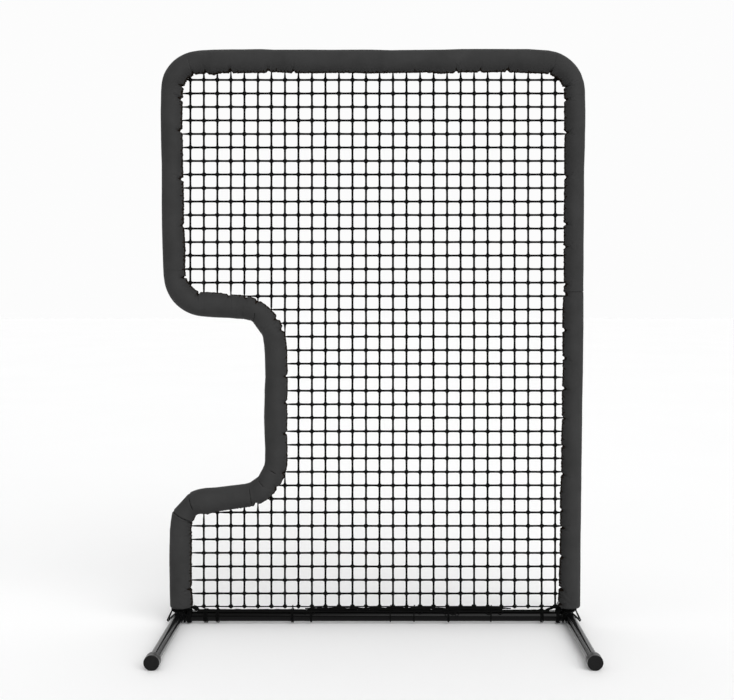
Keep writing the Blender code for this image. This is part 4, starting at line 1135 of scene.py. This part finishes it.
def makeBails():
    wide, z = bail["half"], pin["height"]
    for hand, label in hands:
        x = hand * (pinFace + pin["headLength"] / 2)
        knee = (hand * (halfWidth + bail["reach"] - bail["inset"]), z - bail["drop"])
        low = (knee[0] - hand * bail["low"][0], knee[1] - bail["low"][1])
        hook = (hand * (pinFace + bail["inset"]), z - bail["drop"] + bail["back"])
        half = [(x, bail["pivot"], z), (x, wide, z), (knee[0], wide, knee[1]), (low[0], wide, low[1]),
                (hook[0], wide, hook[1])]
        points = roundedPath(half + [(px, -py, pz) for px, py, pz in reversed(half)], bail["bend"])
        # thicker along the grip, the lowest part of the outboard side
        heights = np.abs(points[:, 2] - (knee[1] + low[1]) / 2)
        outboard = hand * (points[:, 0] - low[0]) > -bail["gripWidth"]
        grip = (bail["grip"] - 1) * outboard * np.clip(bail["gripFull"] - heights / bail["gripFade"], 0, 1)
        store = newStore()
        addTube(store, points, bail["wire"] / 2 * (1 + grip), bail["sides"])
        makePiece("pin_bail_wire_" + label, store, ["wire"], [label + "_pin_bail"],
                  body=label + "_bail")


makePins()
makeBails()
print("pins made")


# finishes of the tubes and screws that keep their frame meshes

for name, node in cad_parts.items():
    if not node.hide_render:
        node.data.materials.clear()
        node.data.materials.append(materials["zinc" if name.startswith("joint_screw") else "paint"])


# floor, light and surroundings: suns as name, where from, angle across and power

studio = {
    "floorDark": (0.92, 0.92, 0.92), "floorLight": (0.93, 0.93, 0.93), "floorPatch": 0.8,
    "floorRoughness": 0.6, "floorGloss": 0.15, "floorEdge": 30.0, "floorZ": -0.0006,
    "front": 0.28, "behind": 0.66, "turn": (-0.3, 0.6), "backdrop": 0.975,
    "suns": (("overhead", (0.0, 0.15, 1.0), 130, 0.85), ("key", (0.44, -0.69, 0.57), 60, 2.05),
             ("fill", (-0.85, -0.4, 0.28), 60, 0.2)),
}


def makeFloor():
    mesh = bpy.data.meshes.new("floor")
    spots = (-studio["floorEdge"], 0.0, studio["floorEdge"])
    mesh.from_pydata([(x, y, studio["floorZ"]) for x in spots for y in spots], [],
                     [(n, n + 3, n + 4, n + 1) for n in (0, 1, 3, 4)])
    material, tree, shader, place = startMaterial("floor")
    tone = addTexture(tree, place, "Noise", studio["floorPatch"], 2)
    color = addTones(tree, tone, studio["floorDark"], studio["floorLight"])
    setInputs(tree, shader, {"Base Color": color, "Roughness": studio["floorRoughness"],
                             "Specular IOR Level": studio["floorGloss"]})
    mesh.materials.append(material)
    addItem("floor", mesh)


def makeWorld():
    # a pale sweep that the camera sees, and a room that is dimmer in front of the screen than behind it
    world = bpy.data.worlds.new("studio")
    bpy.context.scene.world = world
    world.use_nodes = True
    tree = world.node_tree
    white = (1, 1, 1, 1)
    split = addNode(tree, "SeparateXYZ", {"Vector": addNode(tree, "TexCoord", {}).outputs["Generated"]})
    level = addRange(tree, split.outputs["Y"], studio["front"], studio["behind"], *studio["turn"])
    room = tree.nodes["Background"]
    setInputs(tree, room, {"Color": white, "Strength": level})
    sweep = addNode(tree, "Background", {"Color": white, "Strength": studio["backdrop"]})
    seen = addNode(tree, "LightPath", {}).outputs["Is Camera Ray"]
    mix = addNode(tree, "MixShader", {0: seen, 1: room.outputs["Background"], 2: sweep.outputs["Background"]})
    setInputs(tree, tree.nodes["World Output"], {"Surface": mix.outputs["Shader"]})


def makeSuns():
    for name, source, angle, power in studio["suns"]:
        data = bpy.data.lights.new(name, "SUN")
        data.energy = power
        data.angle = radians(angle)
        item = addItem(name, data)
        item.rotation_euler = (-Vector(source)).to_track_quat("-Z", "Y").to_euler()


makeFloor()
makeWorld()
makeSuns()
bpy.context.scene.view_settings.view_transform = "Standard"
print("studio made")
